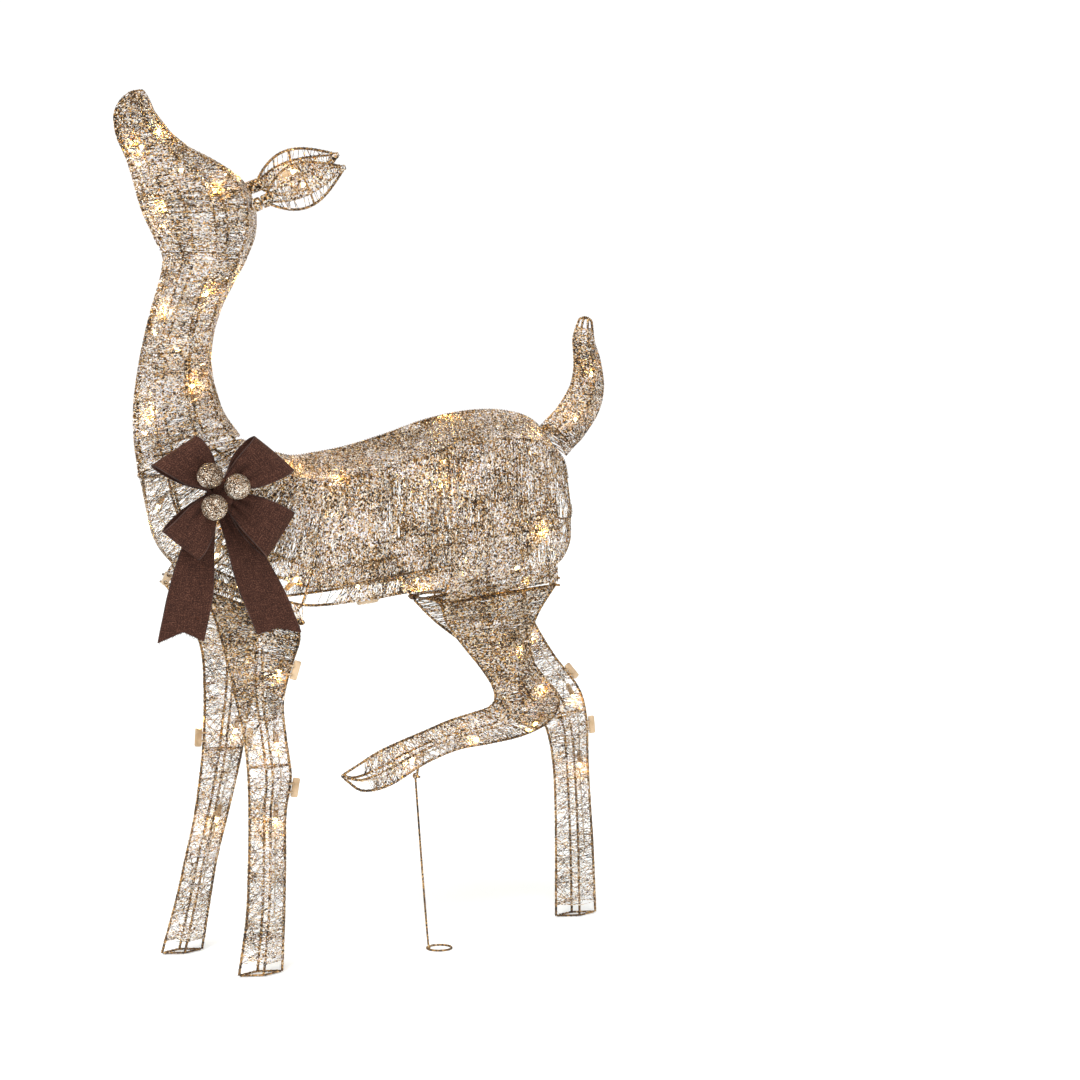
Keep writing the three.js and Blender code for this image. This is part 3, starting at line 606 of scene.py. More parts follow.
def wound_threads(section, passes, rng, steep, clump, first, last, keep):
    """Ends of straight threads wound around a section's wires, in passes that climb and fall."""
    wires = section.wires
    spans = len(wires) if section.wraps else len(wires) - 1
    starts, ends, shades = [], [], []
    for _ in range(passes):
        distance = rng.uniform(first, last)
        distance += clump * math.sin(distance / CLUMP_WAVES[0]) * math.sin(distance / CLUMP_WAVES[1] + 1.0)
        slope = rng.normal(0, steep)
        shade = rng.uniform(0, 1)
        order = range(spans) if rng.uniform() < 0.5 else range(spans)[::-1]
        for step in order:
            here, there = wires[step], wires[(step + 1) % len(wires)]
            if there < here:
                there += 360
            begin = np.clip(distance + rng.normal(0, END_SPREAD), first, last)
            distance += slope + rng.normal(0, STEP_SPREAD)
            if distance < first or distance > last:
                slope = -slope
                distance = np.clip(distance, first, last)
            finish = np.clip(distance + rng.normal(0, END_SPREAD), first, last)
            places = section.place_at(np.array([begin, finish]))
            if keep is not None and rng.uniform() > keep(places, here, there):
                continue
            starts.append((places[0], here))
            ends.append((places[1], there))
            shades.append(np.clip(shade + rng.normal(0, TONE_SPREAD), 0, 1))
    return starts, ends, np.array(shades)


def on_wires(section, spots, lift):
    """Points just outside the wires at (place, angle) spots."""
    places, angles = np.array(spots, float).T
    return section.skin(places, angles) + lift * section.outward(places, angles)


def add_web(shape, section, passes, rng, steep, clump=6.0, first=WEB_MARGIN, last=None, keep=None, light=1.0):
    """The glitter thread wound around a section; a light under 1 darkens it."""
    last = section.length - WEB_MARGIN if last is None else last
    starts, ends, shades = wound_threads(section, passes, rng, steep, clump, first, last, keep)
    lift = WIRE_RADIUS + THREAD_RADIUS
    begin, finish = on_wires(section, starts, lift), on_wires(section, ends, lift)
    add_threads(shape, begin, finish, THREAD_RADIUS, light * shades)


def add_wrapping(shape, path, rng, wire_radius=WIRE_RADIUS, pitch=WRAP_PITCH, tone=None):
    """Thread coiled along a wire."""
    path = np.asarray(path, float)
    along = distances(path)
    turns = max(2, int(along[-1] / pitch))
    wanted = np.linspace(0, along[-1], turns * WRAP_STEPS + 1)
    centre, across, over = (read_at(wanted, along, rows) for rows in (path, *ring_frames(path, False)))
    angle = np.arange(len(wanted))[:, None] * 2 * math.pi / WRAP_STEPS + rng.uniform(0, 6)
    shade = rng.uniform(0.05, 0.5) if tone is None else tone
    coil = centre + (wire_radius + 0.3) * spun(across, over, angle)
    add_tube(shape, coil, THREAD_RADIUS, 4, shade=shade)


def add_wires(shape, wrapping, section, rng, hoop_places):
    """The lengthwise wires and hoops of a section, with thread coiled on each."""
    for angle in section.wires:
        path = section.wire_path(angle)
        add_tube(shape, path, WIRE_RADIUS)
        add_wrapping(wrapping, path, rng)
    for place in hoop_places:
        ring = hoop_path(section.skin(float(place), np.array(section.hoop, float)))
        add_tube(shape, ring, HOOP_RADIUS, 8, closed=True)
        add_wrapping(wrapping, ring, rng, HOOP_RADIUS)


def hoop_path(corners):
    """A closed path through the corners, with straight runs and rounded turns."""
    points = []
    for k, here in enumerate(corners):
        back = (corners[k - 1] - here) * CORNER_REACH
        ahead = (corners[(k + 1) % len(corners)] - here) * CORNER_REACH
        for near, far in ((1, 0), (0.3, 0.12), (0.12, 0.3), (0, 1)):
            points.append(here + near * back + far * ahead)
    return np.array(points)


BACK_WIRES = [225, 264, 310, 360, 410, 456, 495]
ROUND_WIRES = [0, 50, 90, 135, 180, 225, 270, 310]
EDGE_WIRES = [0, 90, 180, 270]
TORSO = Section(TORSO_STATIONS, 0, BACK_WIRES, 2.2, 5, hoop=[*BACK_WIRES, 515, 540, 565], wraps=False)
CHEST = Section(TORSO_STATIONS, 0, [135, 180, 225], 2.2, 5, wraps=False)
BELLY_SIDES = [
    (Section(TORSO_STATIONS, 0, [251, 264], 2.2, 5, wraps=False), 251),
    (Section(TORSO_STATIONS, 0, [456, 469], 2.2, 5, wraps=False), 469),
]
NECK = Section(NECK_STATIONS, 0, ROUND_WIRES, 2.1, 2.1)
HEAD = Section(HEAD_STATIONS, 0, ROUND_WIRES, 2.1, 2.1)
TAIL_ROOT = Section([(478, 759, 522, 719, 14), TAIL_STATIONS[0]], 0, EDGE_WIRES)
THROAT = Section([NECK_STATIONS[-1], HEAD_STATIONS[0]], 0, ROUND_WIRES, 2.1, 2.1)
TAIL = Section(TAIL_STATIONS, 0, EDGE_WIRES)

FRONT_CLIP, FRONT_HINGE, HIND_HINGE, HIND_CLIP = 3, 5, 8, 11
CLIP_REACH = 11.0


def bar_under(station):
    """The cross bar under a belly station, as x and z."""
    return TORSO_STATIONS[station][0], TORSO_STATIONS[station][1] - BAR_DROP


def make_leg(name, side, stations, hinge, clip, folds):
    """A leg's section with its hinge, its clip pin and the station that they give it at the top."""
    hinge_x, hinge_z = bar_under(hinge)
    clip_x, clip_z = bar_under(clip)
    arm = math.hypot(clip_x - hinge_x, clip_z - hinge_z)
    mouth = (folds * (clip_z - hinge_z) / arm, -folds * (clip_x - hinge_x) / arm)
    pin = (clip_x - CLIP_REACH * mouth[0], clip_z - CLIP_REACH * mouth[1])
    corner = (hinge_x - folds * 2, hinge_z - 5)
    top = (*pin, *corner) if folds > 0 else (*corner, *pin)
    section = Section([top, *stations], side, EDGE_WIRES)
    section.name, section.hinge, section.pin, section.mouth = name, (hinge_x, hinge_z), pin, mouth
    return section


FRONT_TOP, HIND_TOP = (FRONT_HINGE, FRONT_CLIP, 1), (HIND_HINGE, HIND_CLIP, -1)
LEGS = [
    make_leg("left_front_leg", -FRONT_LEG_Y, LEFT_FRONT_STATIONS, *FRONT_TOP),
    make_leg("right_front_leg", FRONT_LEG_Y, RIGHT_FRONT_STATIONS, *FRONT_TOP),
    make_leg("left_hind_leg", -HIND_LEG_Y, LEFT_HIND_STATIONS, *HIND_TOP),
    make_leg("right_hind_leg", HIND_LEG_Y, RIGHT_HIND_STATIONS, *HIND_TOP),
]

# ---------- lamps and cables ----------

LAMP_LOW, LAMP_HIGH = -13.0, 14.0
HOLDER_PROFILE = [
    (1.4, 0.00), (2.6, 0.02), (3.4, 0.08), (3.6, 0.20), (3.3, 0.22), (3.6, 0.26), (3.3, 0.30), (3.7, 0.34),
    (3.8, 0.56), (4.1, 0.60), (4.1, 0.68), (3.4, 0.70),
]
BULB_PROFILE = [
    (2.6, 0.66), (2.7, 0.74), (2.7, 0.84), (2.4, 0.90), (1.7, 0.96), (0.5, 1.00),
]
TAB_HALF = 5.0
TAB_REACH = 13.5
TAB_GAP = 1.6
JAW_STEP = 6.0
JAW_SIDE = 3.1
JAW_ROOT = 3.5
JAW_LENGTH = 8.0
TAB_PROFILE = [
    (3.4, 0.0), (4.6, 0.02), (5.0, 0.07), (5.0, 0.26), (4.6, 0.28), (5.0, 0.30), (4.6, 0.32), (5.0, 0.34),
    (5.0, 0.92), (4.6, 0.98), (3.4, 1.0),
]
JAW_PROFILE = [(1.3, 0.0), (1.2, 0.7), (1.5, 0.85), (0.7, 1.0)]
CABLE_RADIUS = 0.75
CABLE_TWIST = 15.0
CABLE_STEP = 2.5
LAMP_POWER = 0.05
GLOW_POWER = 0.045
GLOW_OUT = 8.0
LAMP_COLOUR = (1.0, 0.66, 0.20)
lamp_places = []


def twisted_cable(shape, points):
    """Two insulated wires twisted together along a smooth route."""
    path = evenly(points, CABLE_STEP)
    across, over = ring_frames(path, False)
    angle = np.arange(len(path))[:, None] * CABLE_STEP / CABLE_TWIST * 2 * math.pi
    for start in (0.0, math.pi):
        add_tube(shape, path + CABLE_RADIUS * 0.8 * spun(across, over, angle + start), CABLE_RADIUS, 6)


def add_tab(shape, bulbs, leg, station, angle):
    """A lamp's flat clip on a leg's edge wire, with two jaws that reach past the wire.

    On a front edge it carries its own bulb.
    """
    along = unit(leg.skin(station + 0.2, angle) - leg.skin(station - 0.2, angle))
    out = leg.outward(station, angle)
    middle = leg.skin(station, angle) + (WIRE_RADIUS + TAB_GAP + TAB_HALF) * out
    ends = middle - TAB_REACH * along, middle + TAB_REACH * along
    add_lathe(shape, *ends, TAB_PROFILE, 20, corner=0.45, flat=0.5)
    for side in (-1, 1):
        for step in (-JAW_STEP, JAW_STEP):
            root = middle + step * along + (0, JAW_SIDE * side, 0) - JAW_ROOT * out
            add_lathe(shape, root, root - JAW_LENGTH * out, JAW_PROFILE, 10)
    if angle == 180:
        add_lathe(bulbs, middle + 5 * along, middle - 22 * along, BULB_PROFILE)
        lamp_places.append((leg.name, middle - 26 * along - 6 * out, LAMP_POWER))


def light_string(name, body, points, glow=None, has_lamp=lambda k: True, tabs=(), node=None):
    """A cable through the points with lamps on the ones asked for, in place of a CAD light string.

    Inside a dense web, glow lists where each lamp's light reaches the outer threads.
    """
    cable, holders, bulbs = Shape(), Shape(), Shape()
    points = np.asarray(points, float)
    twisted_cable(cable, points)
    for k in range(1, len(points) - 1):
        if not has_lamp(k - 1):
            continue
        along = unit(points[k + 1] - points[k - 1])
        ends = points[k] + LAMP_LOW * along, points[k] + LAMP_HIGH * along
        add_lathe(holders, *ends, HOLDER_PROFILE)
        add_lathe(bulbs, *ends, BULB_PROFILE)
        if glow is None:
            lamp_places.append((body, points[k] + (LAMP_HIGH + 4) * along, LAMP_POWER))
        else:
            lamp_places.append((body, glow[k] + LAMP_HIGH * along, GLOW_POWER))
    for tab in tabs:
        add_tab(holders, bulbs, *tab)
    cable.make(f"{name}_cable", CABLE, body, "light_string", node or f"{name}_light_string")
    holders.make(f"{name}_lamp_holders", HOLDER, body, "light_string")
    bulbs.make(f"{name}_bulbs", BULB, body, "light_string")


def straight_points(section, places, angles, offset):
    """Points read on straight runs between stations, as the CAD solids have them."""
    places = np.asarray(places, float)
    low = np.minimum(places.astype(int), section.last - 1)
    share = (places - low)[:, None]
    begin, finish = section.skin(low, angles, offset), section.skin(low + 1, angles, offset)
    return begin + (finish - begin) * share


def wound_string(name, body, section, inset, count, turns, first, last):
    """A light string wound round inside a dense web."""
    share = np.arange(count) / (count - 1)
    places, angles = first + (last - first) * share, 360 * turns * share + 60
    route, glow = (straight_points(section, places, angles, offset) for offset in (-inset, GLOW_OUT))
    light_string(name, body, route, glow)


def turn_towards(thing, direction):
    """Turn a camera or light to look along a direction."""
    thing.rotation_mode = "QUATERNION"
    thing.rotation_quaternion = Vector(direction).to_track_quat("-Z", "Y")


def add_light(name, kind, energy, place=(0, 0, 0), **settings):
    data = bpy.data.lights.new(name, kind)
    data.energy = energy
    for key, value in settings.items():
        setattr(data, key, value)
    light = link(bpy.data.objects.new(name, data))
    light.location = place
    return light


def put_lamp_lights():
    """A small warm light just past each bulb."""
    for number, (body, place, power) in enumerate(lamp_places):
        name = f"lamp_light_{number:02d}"
        light = add_light(name, "POINT", power, to_row(place), color=LAMP_COLOUR, shadow_soft_size=0.003)
        light.parent = frame["bodies"][body]


# ---------- torso ----------


def bar(shape, x, z, half, y=0.0):
    """A wire that lies across the doe."""
    add_rod(shape, (x, y - half, z), (x, y + half, z))


BAR_PAST_LEG = 16
STRUT_Y = 30


def cross_bar(shape, station, leg_side):
    """A belly bar that the legs hinge on or clip to, hung from its hoop by two struts."""
    x, z = bar_under(station)
    bar(shape, x, z, leg_side + BAR_PAST_LEG)
    for y in (-STRUT_Y, STRUT_Y):
        add_tube(shape, [(x, y, z), (x, y, z + BAR_DROP / 2), (x, y, z + BAR_DROP + 3)], HOOP_RADIUS)


def along_neck(side, distance):
    """A point on the line of one of the two neck pegs."""
    front_x, front_z, rear_x, rear_z, half = TORSO_STATIONS[0]
    middle = np.array([(front_x + rear_x) / 2, 0, (front_z + rear_z) / 2])
    axis = unit((front_z - rear_z, 0, rear_x - front_x))
    return middle + distance * axis + np.array([0, side * half, 0])


SKIRT_OUT, SKIRT_DROP = 12.0, 4.0
SKIRT_STRANDS = ((1.3, 21), (-1.3, 17), (1.7, 29))
TAIL_PIVOT = (487.0, 0.0, 760.0)
TAIL_FOOT = (477.0, 0.0, 753.0)


def sparse_belly(places, here, there):
    """Most thread stops short of the belly wires, and none bridges the dip of the back."""
    place = places.mean()
    if place < 3.5 and abs(places[1] - places[0]) > 0.7:
        return 0.0
    low_side = {here, there} in ({225, 264}, {456, 495})
    return 0.10 if low_side and 3.7 < place < 5.6 else 1.0


def add_skirt(shape, clip, hinge, leg_side, count, rng):
    """Thread from the lowest wire down to strands strung from clip bar to hinge bar, over a pair of legs."""
    for side, angle in ((-1, 225), (1, 495)):
        y = side * (leg_side + SKIRT_OUT)
        ends = [np.array([x, y, z]) for x, z in (bar_under(clip), bar_under(hinge))]
        ends[0][2] -= SKIRT_DROP
        add_rod(shape, *ends, 0.9, 6, shade=0.2)
        for radius, turns in SKIRT_STRANDS:
            add_coil(shape, *ends, radius, THREAD_RADIUS, turns, steps=6, sides=4, shade=rng.uniform(0, 0.6))
        share = rng.uniform(0, 1, count)
        lean = np.clip(share + rng.normal(0, 0.07, count), 0, 1)
        starts = on_wires(TORSO, [(clip + (hinge - clip) * part, angle) for part in share], WIRE_RADIUS)
        finish = ends[0] + lean[:, None] * (ends[1] - ends[0])
        add_threads(shape, starts, finish, THREAD_RADIUS, rng.uniform(0, 1, count))


def finish_section(wires, web, name, body, frame_node=None):
    """The pieces of a section's wires and thread, in place of its CAD nodes."""
    wires.make(f"{name}_wires", WIRE, body, "frame_wire", frame_node or f"{name}_frame")
    finish_web(web, name, body)


def finish_web(web, name, body):
    web.make(f"{name}_thread_web", THREAD, body, "glitter_thread", f"{name}_thread", smooth=False)


# For each pair of legs: clip and hinge stations, distance from the middle, threads in its skirt.
LEG_PAIRS = ((FRONT_CLIP, FRONT_HINGE, FRONT_LEG_Y, 190), (HIND_CLIP, HIND_HINGE, HIND_LEG_Y, 300))


def build_torso():
    rng = np.random.default_rng(11)
    wires, web = Shape(), Shape()
    add_wires(wires, web, TORSO, rng, [0, FRONT_CLIP, FRONT_HINGE, HIND_HINGE, HIND_CLIP, 13])
    for clip, hinge, side, _ in LEG_PAIRS:
        cross_bar(wires, clip, side)
        cross_bar(wires, hinge, side)
    bar(wires, TAIL_PIVOT[0], TAIL_PIVOT[2], 13)
    bar(wires, TAIL_FOOT[0], TAIL_FOOT[2], 10)
    for y in (-9, 9):
        add_rod(wires, np.array(TAIL_FOOT) + (0, y, 0), np.array(TAIL_PIVOT) + (0, y, 0), HOOP_RADIUS)
    for side in (-1, 1):
        add_socket(wires, along_neck(side, -20), along_neck(side, 4))
    for passes, steep, clump in ((300, 9.0, 8.0), (330, 30.0, 6.0), (260, 62.0, 0.0)):
        add_web(web, TORSO, passes, rng, steep, clump, keep=sparse_belly)
    for angle in TORSO.wires[1:-1]:
        add_wrapping(web, TORSO.wire_path(angle), rng, WIRE_RADIUS + 1.2, pitch=4.0, tone=0.0)
    for passes, steep, clump in ((60, 7.0, 6.0), (40, 20.0, 0.0)):
        add_web(web, CHEST, passes, rng, steep, clump, first=0.0, last=CHEST.distance_to(2.9))
    for flank, edge in BELLY_SIDES:
        low, high = flank.distance_to(3.6), flank.distance_to(5.7)
        add_web(web, flank, 95, rng, steep=12.0, clump=0.0, first=low, last=high)
        path = TORSO.wire_path(edge, 3.0, 8.0)
        add_tube(wires, path, HOOP_RADIUS, 8)
        add_wrapping(web, path, rng, HOOP_RADIUS)
    for clip, hinge, side, threads in LEG_PAIRS:
        add_skirt(web, clip, hinge, side, threads, rng)
    finish_section(wires, web, "torso", "torso")
    wound_string("torso", "torso", TORSO, 15, 24, 4.3, 0.6, 12.4)


# ---------- neck and head ----------

EAR_TUBE = 11.0
COLLAR_WIRE = 0.8
COLLAR_RADII = (2.4, 3.8, 5.2, 6.6, 7.8, 8.8)
SOCKET_COLLAR_RADII = (5.4, 6.6, 7.8, 8.8)
EARS = [
    {"name": "left_ear", "place": 2.0, "angle": -28, "tip": (142, -58, 1124), "stem": 16, "opens": -1},
    {"name": "right_ear", "place": 2.6, "angle": 28, "tip": (166, 26, 1152), "stem": 34, "opens": 1},
]
for ear in EARS:
    ear["root"] = straight_points(HEAD, [ear["place"]], [ear["angle"]], 0)[0]
    ear["axis"] = unit(np.array(ear["tip"], float) - ear["root"])
    ear["up"] = unit(np.array([0, 0, 1.0]) - ear["axis"][2] * ear["axis"])
    ear["out"] = -ear["opens"] * unit(np.cross(ear["up"], ear["axis"]))


def along_ear(ear, distance):
    return ear["root"] + distance * ear["axis"]


def build_neck_and_head():
    rng = np.random.default_rng(12)
    wires, neck_web, head_web = Shape(), Shape(), Shape()
    add_wires(wires, neck_web, NECK, rng, [0.4, 3.5])
    add_wires(wires, head_web, HEAD, rng, [0, EARS[0]["place"], EARS[1]["place"], 5.5, 8, 9])
    for angle in NECK.wires:
        add_rod(wires, NECK.skin(NECK.last, angle), HEAD.skin(0, angle))
    for side in (-1, 1):
        add_tube(wires, [along_neck(side, d) for d in (-15, 0, 13)], WIRE_RADIUS)
    for ear in EARS:
        add_socket(wires, along_ear(ear, -EAR_TUBE), along_ear(ear, EAR_TUBE))
        for layer, radius in enumerate(SOCKET_COLLAR_RADII):
            collar = along_ear(ear, -3 + layer), along_ear(ear, EAR_TUBE - 0.5 - 0.5 * layer)
            turns = 10 - layer
            add_coil(head_web, *collar, radius, COLLAR_WIRE, turns, steps=14, sides=4, shade=0.1 * layer)
    add_web(neck_web, NECK, 190, rng, steep=8.0)
    add_web(neck_web, NECK, 130, rng, steep=24.0, clump=0.0)
    add_web(head_web, HEAD, 180, rng, steep=7.0)
    add_web(head_web, HEAD, 120, rng, steep=22.0, clump=0.0)
    add_web(head_web, THROAT, 16, rng, steep=3.0, clump=0.0, first=0.0, last=THROAT.length)
    finish_section(wires, neck_web, "neck", "neck_and_head", "neck_head_frame")
    finish_web(head_web, "head", "neck_and_head")
    wound_string("neck", "neck_and_head", NECK, 13, 11, 2, 0.3, 6.6)
    wound_string("head", "neck_and_head", HEAD, 13, 10, 1.8, 0.6, 6.4)


# ---------- ears ----------

EAR_HALF_WIDTH = 31.0
EAR_DEPTH = 15.0
EAR_RIBS = [-90, -30, 30, 90]
EAR_WEBS = ((-90, -30, 30, 0.03), (-30, 30, 150, 0.10), (30, 90, 30, 0.03))


def ear_point(ear, share, angle, offset=0.0):
    """Points of an ear's cup: shares of its length and angles across it."""
    share, angle = np.broadcast_arrays(np.asarray(share, float), np.radians(np.asarray(angle, float)))
    length = np.linalg.norm(np.array(ear["tip"]) - ear["root"]) - ear["stem"]
    swell = np.sin(math.pi * np.clip(share, 0, 1) ** 0.85)
    across = (EAR_HALF_WIDTH * swell + offset) * np.sin(angle)
    depth = (EAR_DEPTH * swell + offset) * np.cos(angle)
    middle = ear["root"] + (ear["stem"] + length * share)[..., None] * ear["axis"]
    return middle + across[..., None] * ear["up"] - depth[..., None] * ear["out"]


def build_ear(ear, seed):
    rng = np.random.default_rng(seed)
    wires, web = Shape(), Shape()
    shares = np.linspace(0, 1, 25)
    for angle in EAR_RIBS:
        path = evenly(ear_point(ear, shares, angle)[::2], WIRE_STEP)
        add_tube(wires, path, WIRE_RADIUS if abs(angle) == 90 else HOOP_RADIUS)
        add_wrapping(web, path, rng, pitch=6.0)
    band = evenly(ear_point(ear, 0.5, np.linspace(-90, 90, 9)), WIRE_STEP)
    add_tube(wires, band, HOOP_RADIUS)
    add_tube(wires, [along_ear(ear, d) for d in (1 - EAR_TUBE, 6, ear["stem"] + 3)], WIRE_RADIUS)
    starts, ends, shades = [], [], []
    for low, high, count, slant in EAR_WEBS:
        for _ in range(count):
            share = rng.uniform(0.06, 0.94)
            lean = rng.normal(0, slant)
            starts.append(ear_point(ear, share, low, WIRE_RADIUS))
            ends.append(ear_point(ear, np.clip(share + lean, 0.04, 0.96), high, WIRE_RADIUS))
            shades.append(rng.uniform(0, 1))
    add_threads(web, starts, ends, THREAD_RADIUS, np.array(shades))
    for layer, radius in enumerate(COLLAR_RADII):
        collar = along_ear(ear, EAR_TUBE + 1.5), along_ear(ear, ear["stem"] + 15 - 2 * layer)
        turns = int(np.linalg.norm(collar[1] - collar[0]) / 1.6)
        add_coil(web, *collar, radius, COLLAR_WIRE, turns, steps=13, sides=4, shade=0.08 * layer)
    for layer, radius in enumerate((2.0, 3.0, 4.0)):
        tip = ear_point(ear, 0.90 + 0.02 * layer, 0.0), ear_point(ear, 1.0, 0.0)
        add_coil(web, *tip, radius, 0.6, turns=6, steps=9, sides=4, shade=0.15 * layer)
    name = ear["name"]
    finish_section(wires, web, name, name)
    route = [along_ear(ear, ear["stem"] + reach) + 2 * ear["out"] for reach in (20, 50, 72)]
    light_string(name, name, route, node=f"{name}_light")


# ---------- legs ----------

# For each leg: bare hoof and thigh's end in stations, passes of thigh thread, clips by station and edge.
LEG_DRESS = {
    "left_front_leg": (0.2, 3.5, 110, [(2.1, 0), (5.3, 0)]),
    "right_front_leg": (0.2, 2.5, 55, [(4.3, 180), (4.4, 0)]),
    "left_hind_leg": (1.4, 6.5, 250, []),
    "right_hind_leg": (0.15, 3.0, 60, [(3.5, 0), (5.15, 0)]),
}
THREAD_START = 0.03
LEG_WEBS = ((120, 7.0, 9.0), (165, 26.0, 0.0))
LEG_WEB_LENGTH = 480
PIN_HALF = 13
CLIP_WIDTH = 7.0
CLIP_EDGE = 0.45
CLIP_OFFSET = 8.0
CLIP_SLOT = 2.4


def clip_outline(steps=12):
    """The fork and eye of a leg clip, with its hole, in its own x and z."""
    fork = CLIP_REACH + 4
    half_turn = np.linspace(math.pi / 2, 3 * math.pi / 2, steps)
    outer = [(fork, EYE_OUTER)]
    outer += [(EYE_OUTER * math.cos(a), EYE_OUTER * math.sin(a)) for a in half_turn]
    outer += [(fork, -EYE_OUTER), (fork, -CLIP_SLOT)]
    outer += [
        (CLIP_REACH + CLIP_SLOT * math.cos(a), CLIP_SLOT * math.sin(a)) for a in half_turn[::-1]
    ]
    outer += [(fork, CLIP_SLOT)]
    hole = [(EYE_BORE * math.cos(a), EYE_BORE * math.sin(a)) for a in np.arange(16) * math.pi / 8]
    return outer, hole


def build_clip(leg):
    """A moulded clip with rounded edges, made as a bevelled outline."""
    curve = bpy.data.curves.new(f"{leg.name}_clip_outline", "CURVE")
    curve.dimensions = "2D"
    curve.fill_mode = "BOTH"
    curve.extrude = (CLIP_WIDTH / 2 - CLIP_EDGE) / 1000
    curve.bevel_depth = CLIP_EDGE / 1000
    curve.bevel_resolution = 2
    curve.offset = -CLIP_EDGE / 1000
    for outline in clip_outline():
        spline = curve.splines.new("POLY")
        spline.points.add(len(outline) - 1)
        for point, (x, y) in zip(spline.points, outline):
            point.co = (x / 1000, y / 1000, 0, 1)
        spline.use_cyclic_u = True
    holder = link(bpy.data.objects.new(curve.name, curve))
    graph = bpy.context.evaluated_depsgraph_get()
    mesh = bpy.data.meshes.new_from_object(holder.evaluated_get(graph))
    bpy.data.objects.remove(holder)
    tilt = math.atan2(leg.mouth[1], leg.mouth[0])
    inner = leg.side - math.copysign(CLIP_OFFSET, leg.side)
    points = np.array([vertex.co for vertex in mesh.vertices])
    x = points[:, 0] * math.cos(tilt) - points[:, 1] * math.sin(tilt)
    z = points[:, 0] * math.sin(tilt) + points[:, 1] * math.cos(tilt)
    centre = to_row((leg.pin[0], inner, leg.pin[1]))
    placed_points = np.stack([x, -points[:, 2], z], axis=1) + centre
    mesh.vertices.foreach_set("co", placed_points.astype(np.float32).ravel())
    mesh.materials.clear()
    mesh.materials.append(CLIP)
    mesh.update()
    place_piece(f"{leg.name}_snap_clip", mesh, leg.name, f"{leg.name}_clip")


ROD_PIN = (254.0, -HIND_LEG_Y, 255.0)
ROD_STRUT_TOP = (256.0, -HIND_LEG_Y, 269.0)
ROD_SIDE = 5.0
ROD_LEAN = 16.0
ROD_FOOT_X = 266
GROUND_RING = 18.0
SOLE_Z = 3.2


def build_leg(leg, seed):
    rng = np.random.default_rng(seed)
    bare_hoof, thigh_end, thigh_passes, tabs = LEG_DRESS[leg.name]
    wires, web = Shape(), Shape()
    add_wires(wires, web, leg, rng, [0, leg.last * 0.52, leg.last])
    hinge = np.array([leg.hinge[0], leg.side, leg.hinge[1]])
    add_eye(wires, hinge, half=7, turns=7)
    bar(wires, *leg.pin, PIN_HALF, y=leg.side)
    if leg.name == "left_hind_leg":
        bar(wires, ROD_PIN[0], ROD_PIN[2], 9, y=ROD_PIN[1])
        add_rod(wires, ROD_STRUT_TOP, ROD_PIN)
    first, last = leg.distance_to(THREAD_START), leg.distance_to(leg.last - bare_hoof)
    amount = (last - first) / LEG_WEB_LENGTH
    for passes, steep, clump in LEG_WEBS:
        add_web(web, leg, int(passes * amount), rng, steep, clump, first=first, last=last)
    thigh = leg.distance_to(thigh_end)
    add_web(web, leg, thigh_passes, rng, steep=16.0, clump=0.0, first=first, last=thigh, light=0.5)
    finish_section(wires, web, leg.name, leg.name)
    build_clip(leg)
    route = leg.skin(np.arange(1, leg.last), 0, -14)
    clips = [(leg, station, angle) for station, angle in tabs]
    light_string(leg.name, leg.name, route, has_lamp=lambda k: k % 2 == 0, tabs=clips)


def build_support_rod():
    """The rod with its eye at the raised leg and its ring on the ground."""
    shape = Shape()
    pin = np.array(ROD_PIN) + (0, ROD_SIDE, 0)
    foot = np.array([ROD_FOOT_X, pin[1] - ROD_LEAN, SOLE_Z])
    add_eye(shape, pin, half=1, turns=2, radius=3.5)
    top = pin - (0, 0, 4)
    add_tube(shape, evenly([top, (top + foot) / 2, foot + (0, 0, 12), foot + (3, 0, 1)], 6), HOOP_RADIUS, 12)
    centre = foot + (GROUND_RING, 0, 0)
    ring = centre + GROUND_RING * spun(np.array([1.0, 0, 0]), np.array([0, 1.0, 0]), around(48))
    add_tube(shape, ring, HOOP_RADIUS, 12, closed=True)
    shape.make("ground_rod", WIRE, "support_rod", "frame_wire", "support_rod")


TAIL_TIP = 8.0


def build_tail():
    rng = np.random.default_rng(31)
    wires, web = Shape(), Shape()
    add_wires(wires, web, TAIL, rng, [0, 3.5])
    pivot = np.array(TAIL_PIVOT)
    add_rod(wires, pivot + (4, 0, 2), TAIL.axis_point(0.0))
    add_rod(wires, TAIL.skin(0, 0), TAIL.skin(0, 180))
    add_eye(wires, pivot, half=4, turns=4)
    heading = unit(TAIL.axis_point(float(TAIL.last)) - TAIL.axis_point(TAIL.last - 0.5))
    for start, end in ((0, 180), (90, 270)):
        first, last = TAIL.skin(TAIL.last, start), TAIL.skin(TAIL.last, end)
        turns = np.linspace(0, math.pi, 11)[:, None]
        arc = (first + last) / 2 + spun((first - last) / 2, TAIL_TIP * heading, turns)
        add_tube(wires, arc, WIRE_RADIUS)
        add_wrapping(web, arc, rng, pitch=3.0)
    add_web(web, TAIL, 150, rng, steep=6.0, last=TAIL.length - 6, light=0.7)
    add_web(web, TAIL, 110, rng, steep=15.0, clump=0.0, last=TAIL.length - 12, light=0.7)
    add_web(web, TAIL_ROOT, 22, rng, steep=4.0, clump=0.0, first=0.0, last=TAIL_ROOT.length)
    finish_section(wires, web, "tail", "tail")
    route = straight_points(TAIL, [0.3, 1, 2, 3, 4], [60] * 5, -14)
    light_string("tail", "tail", route, has_lamp=lambda k: k != 1)


# ---------- bow ----------

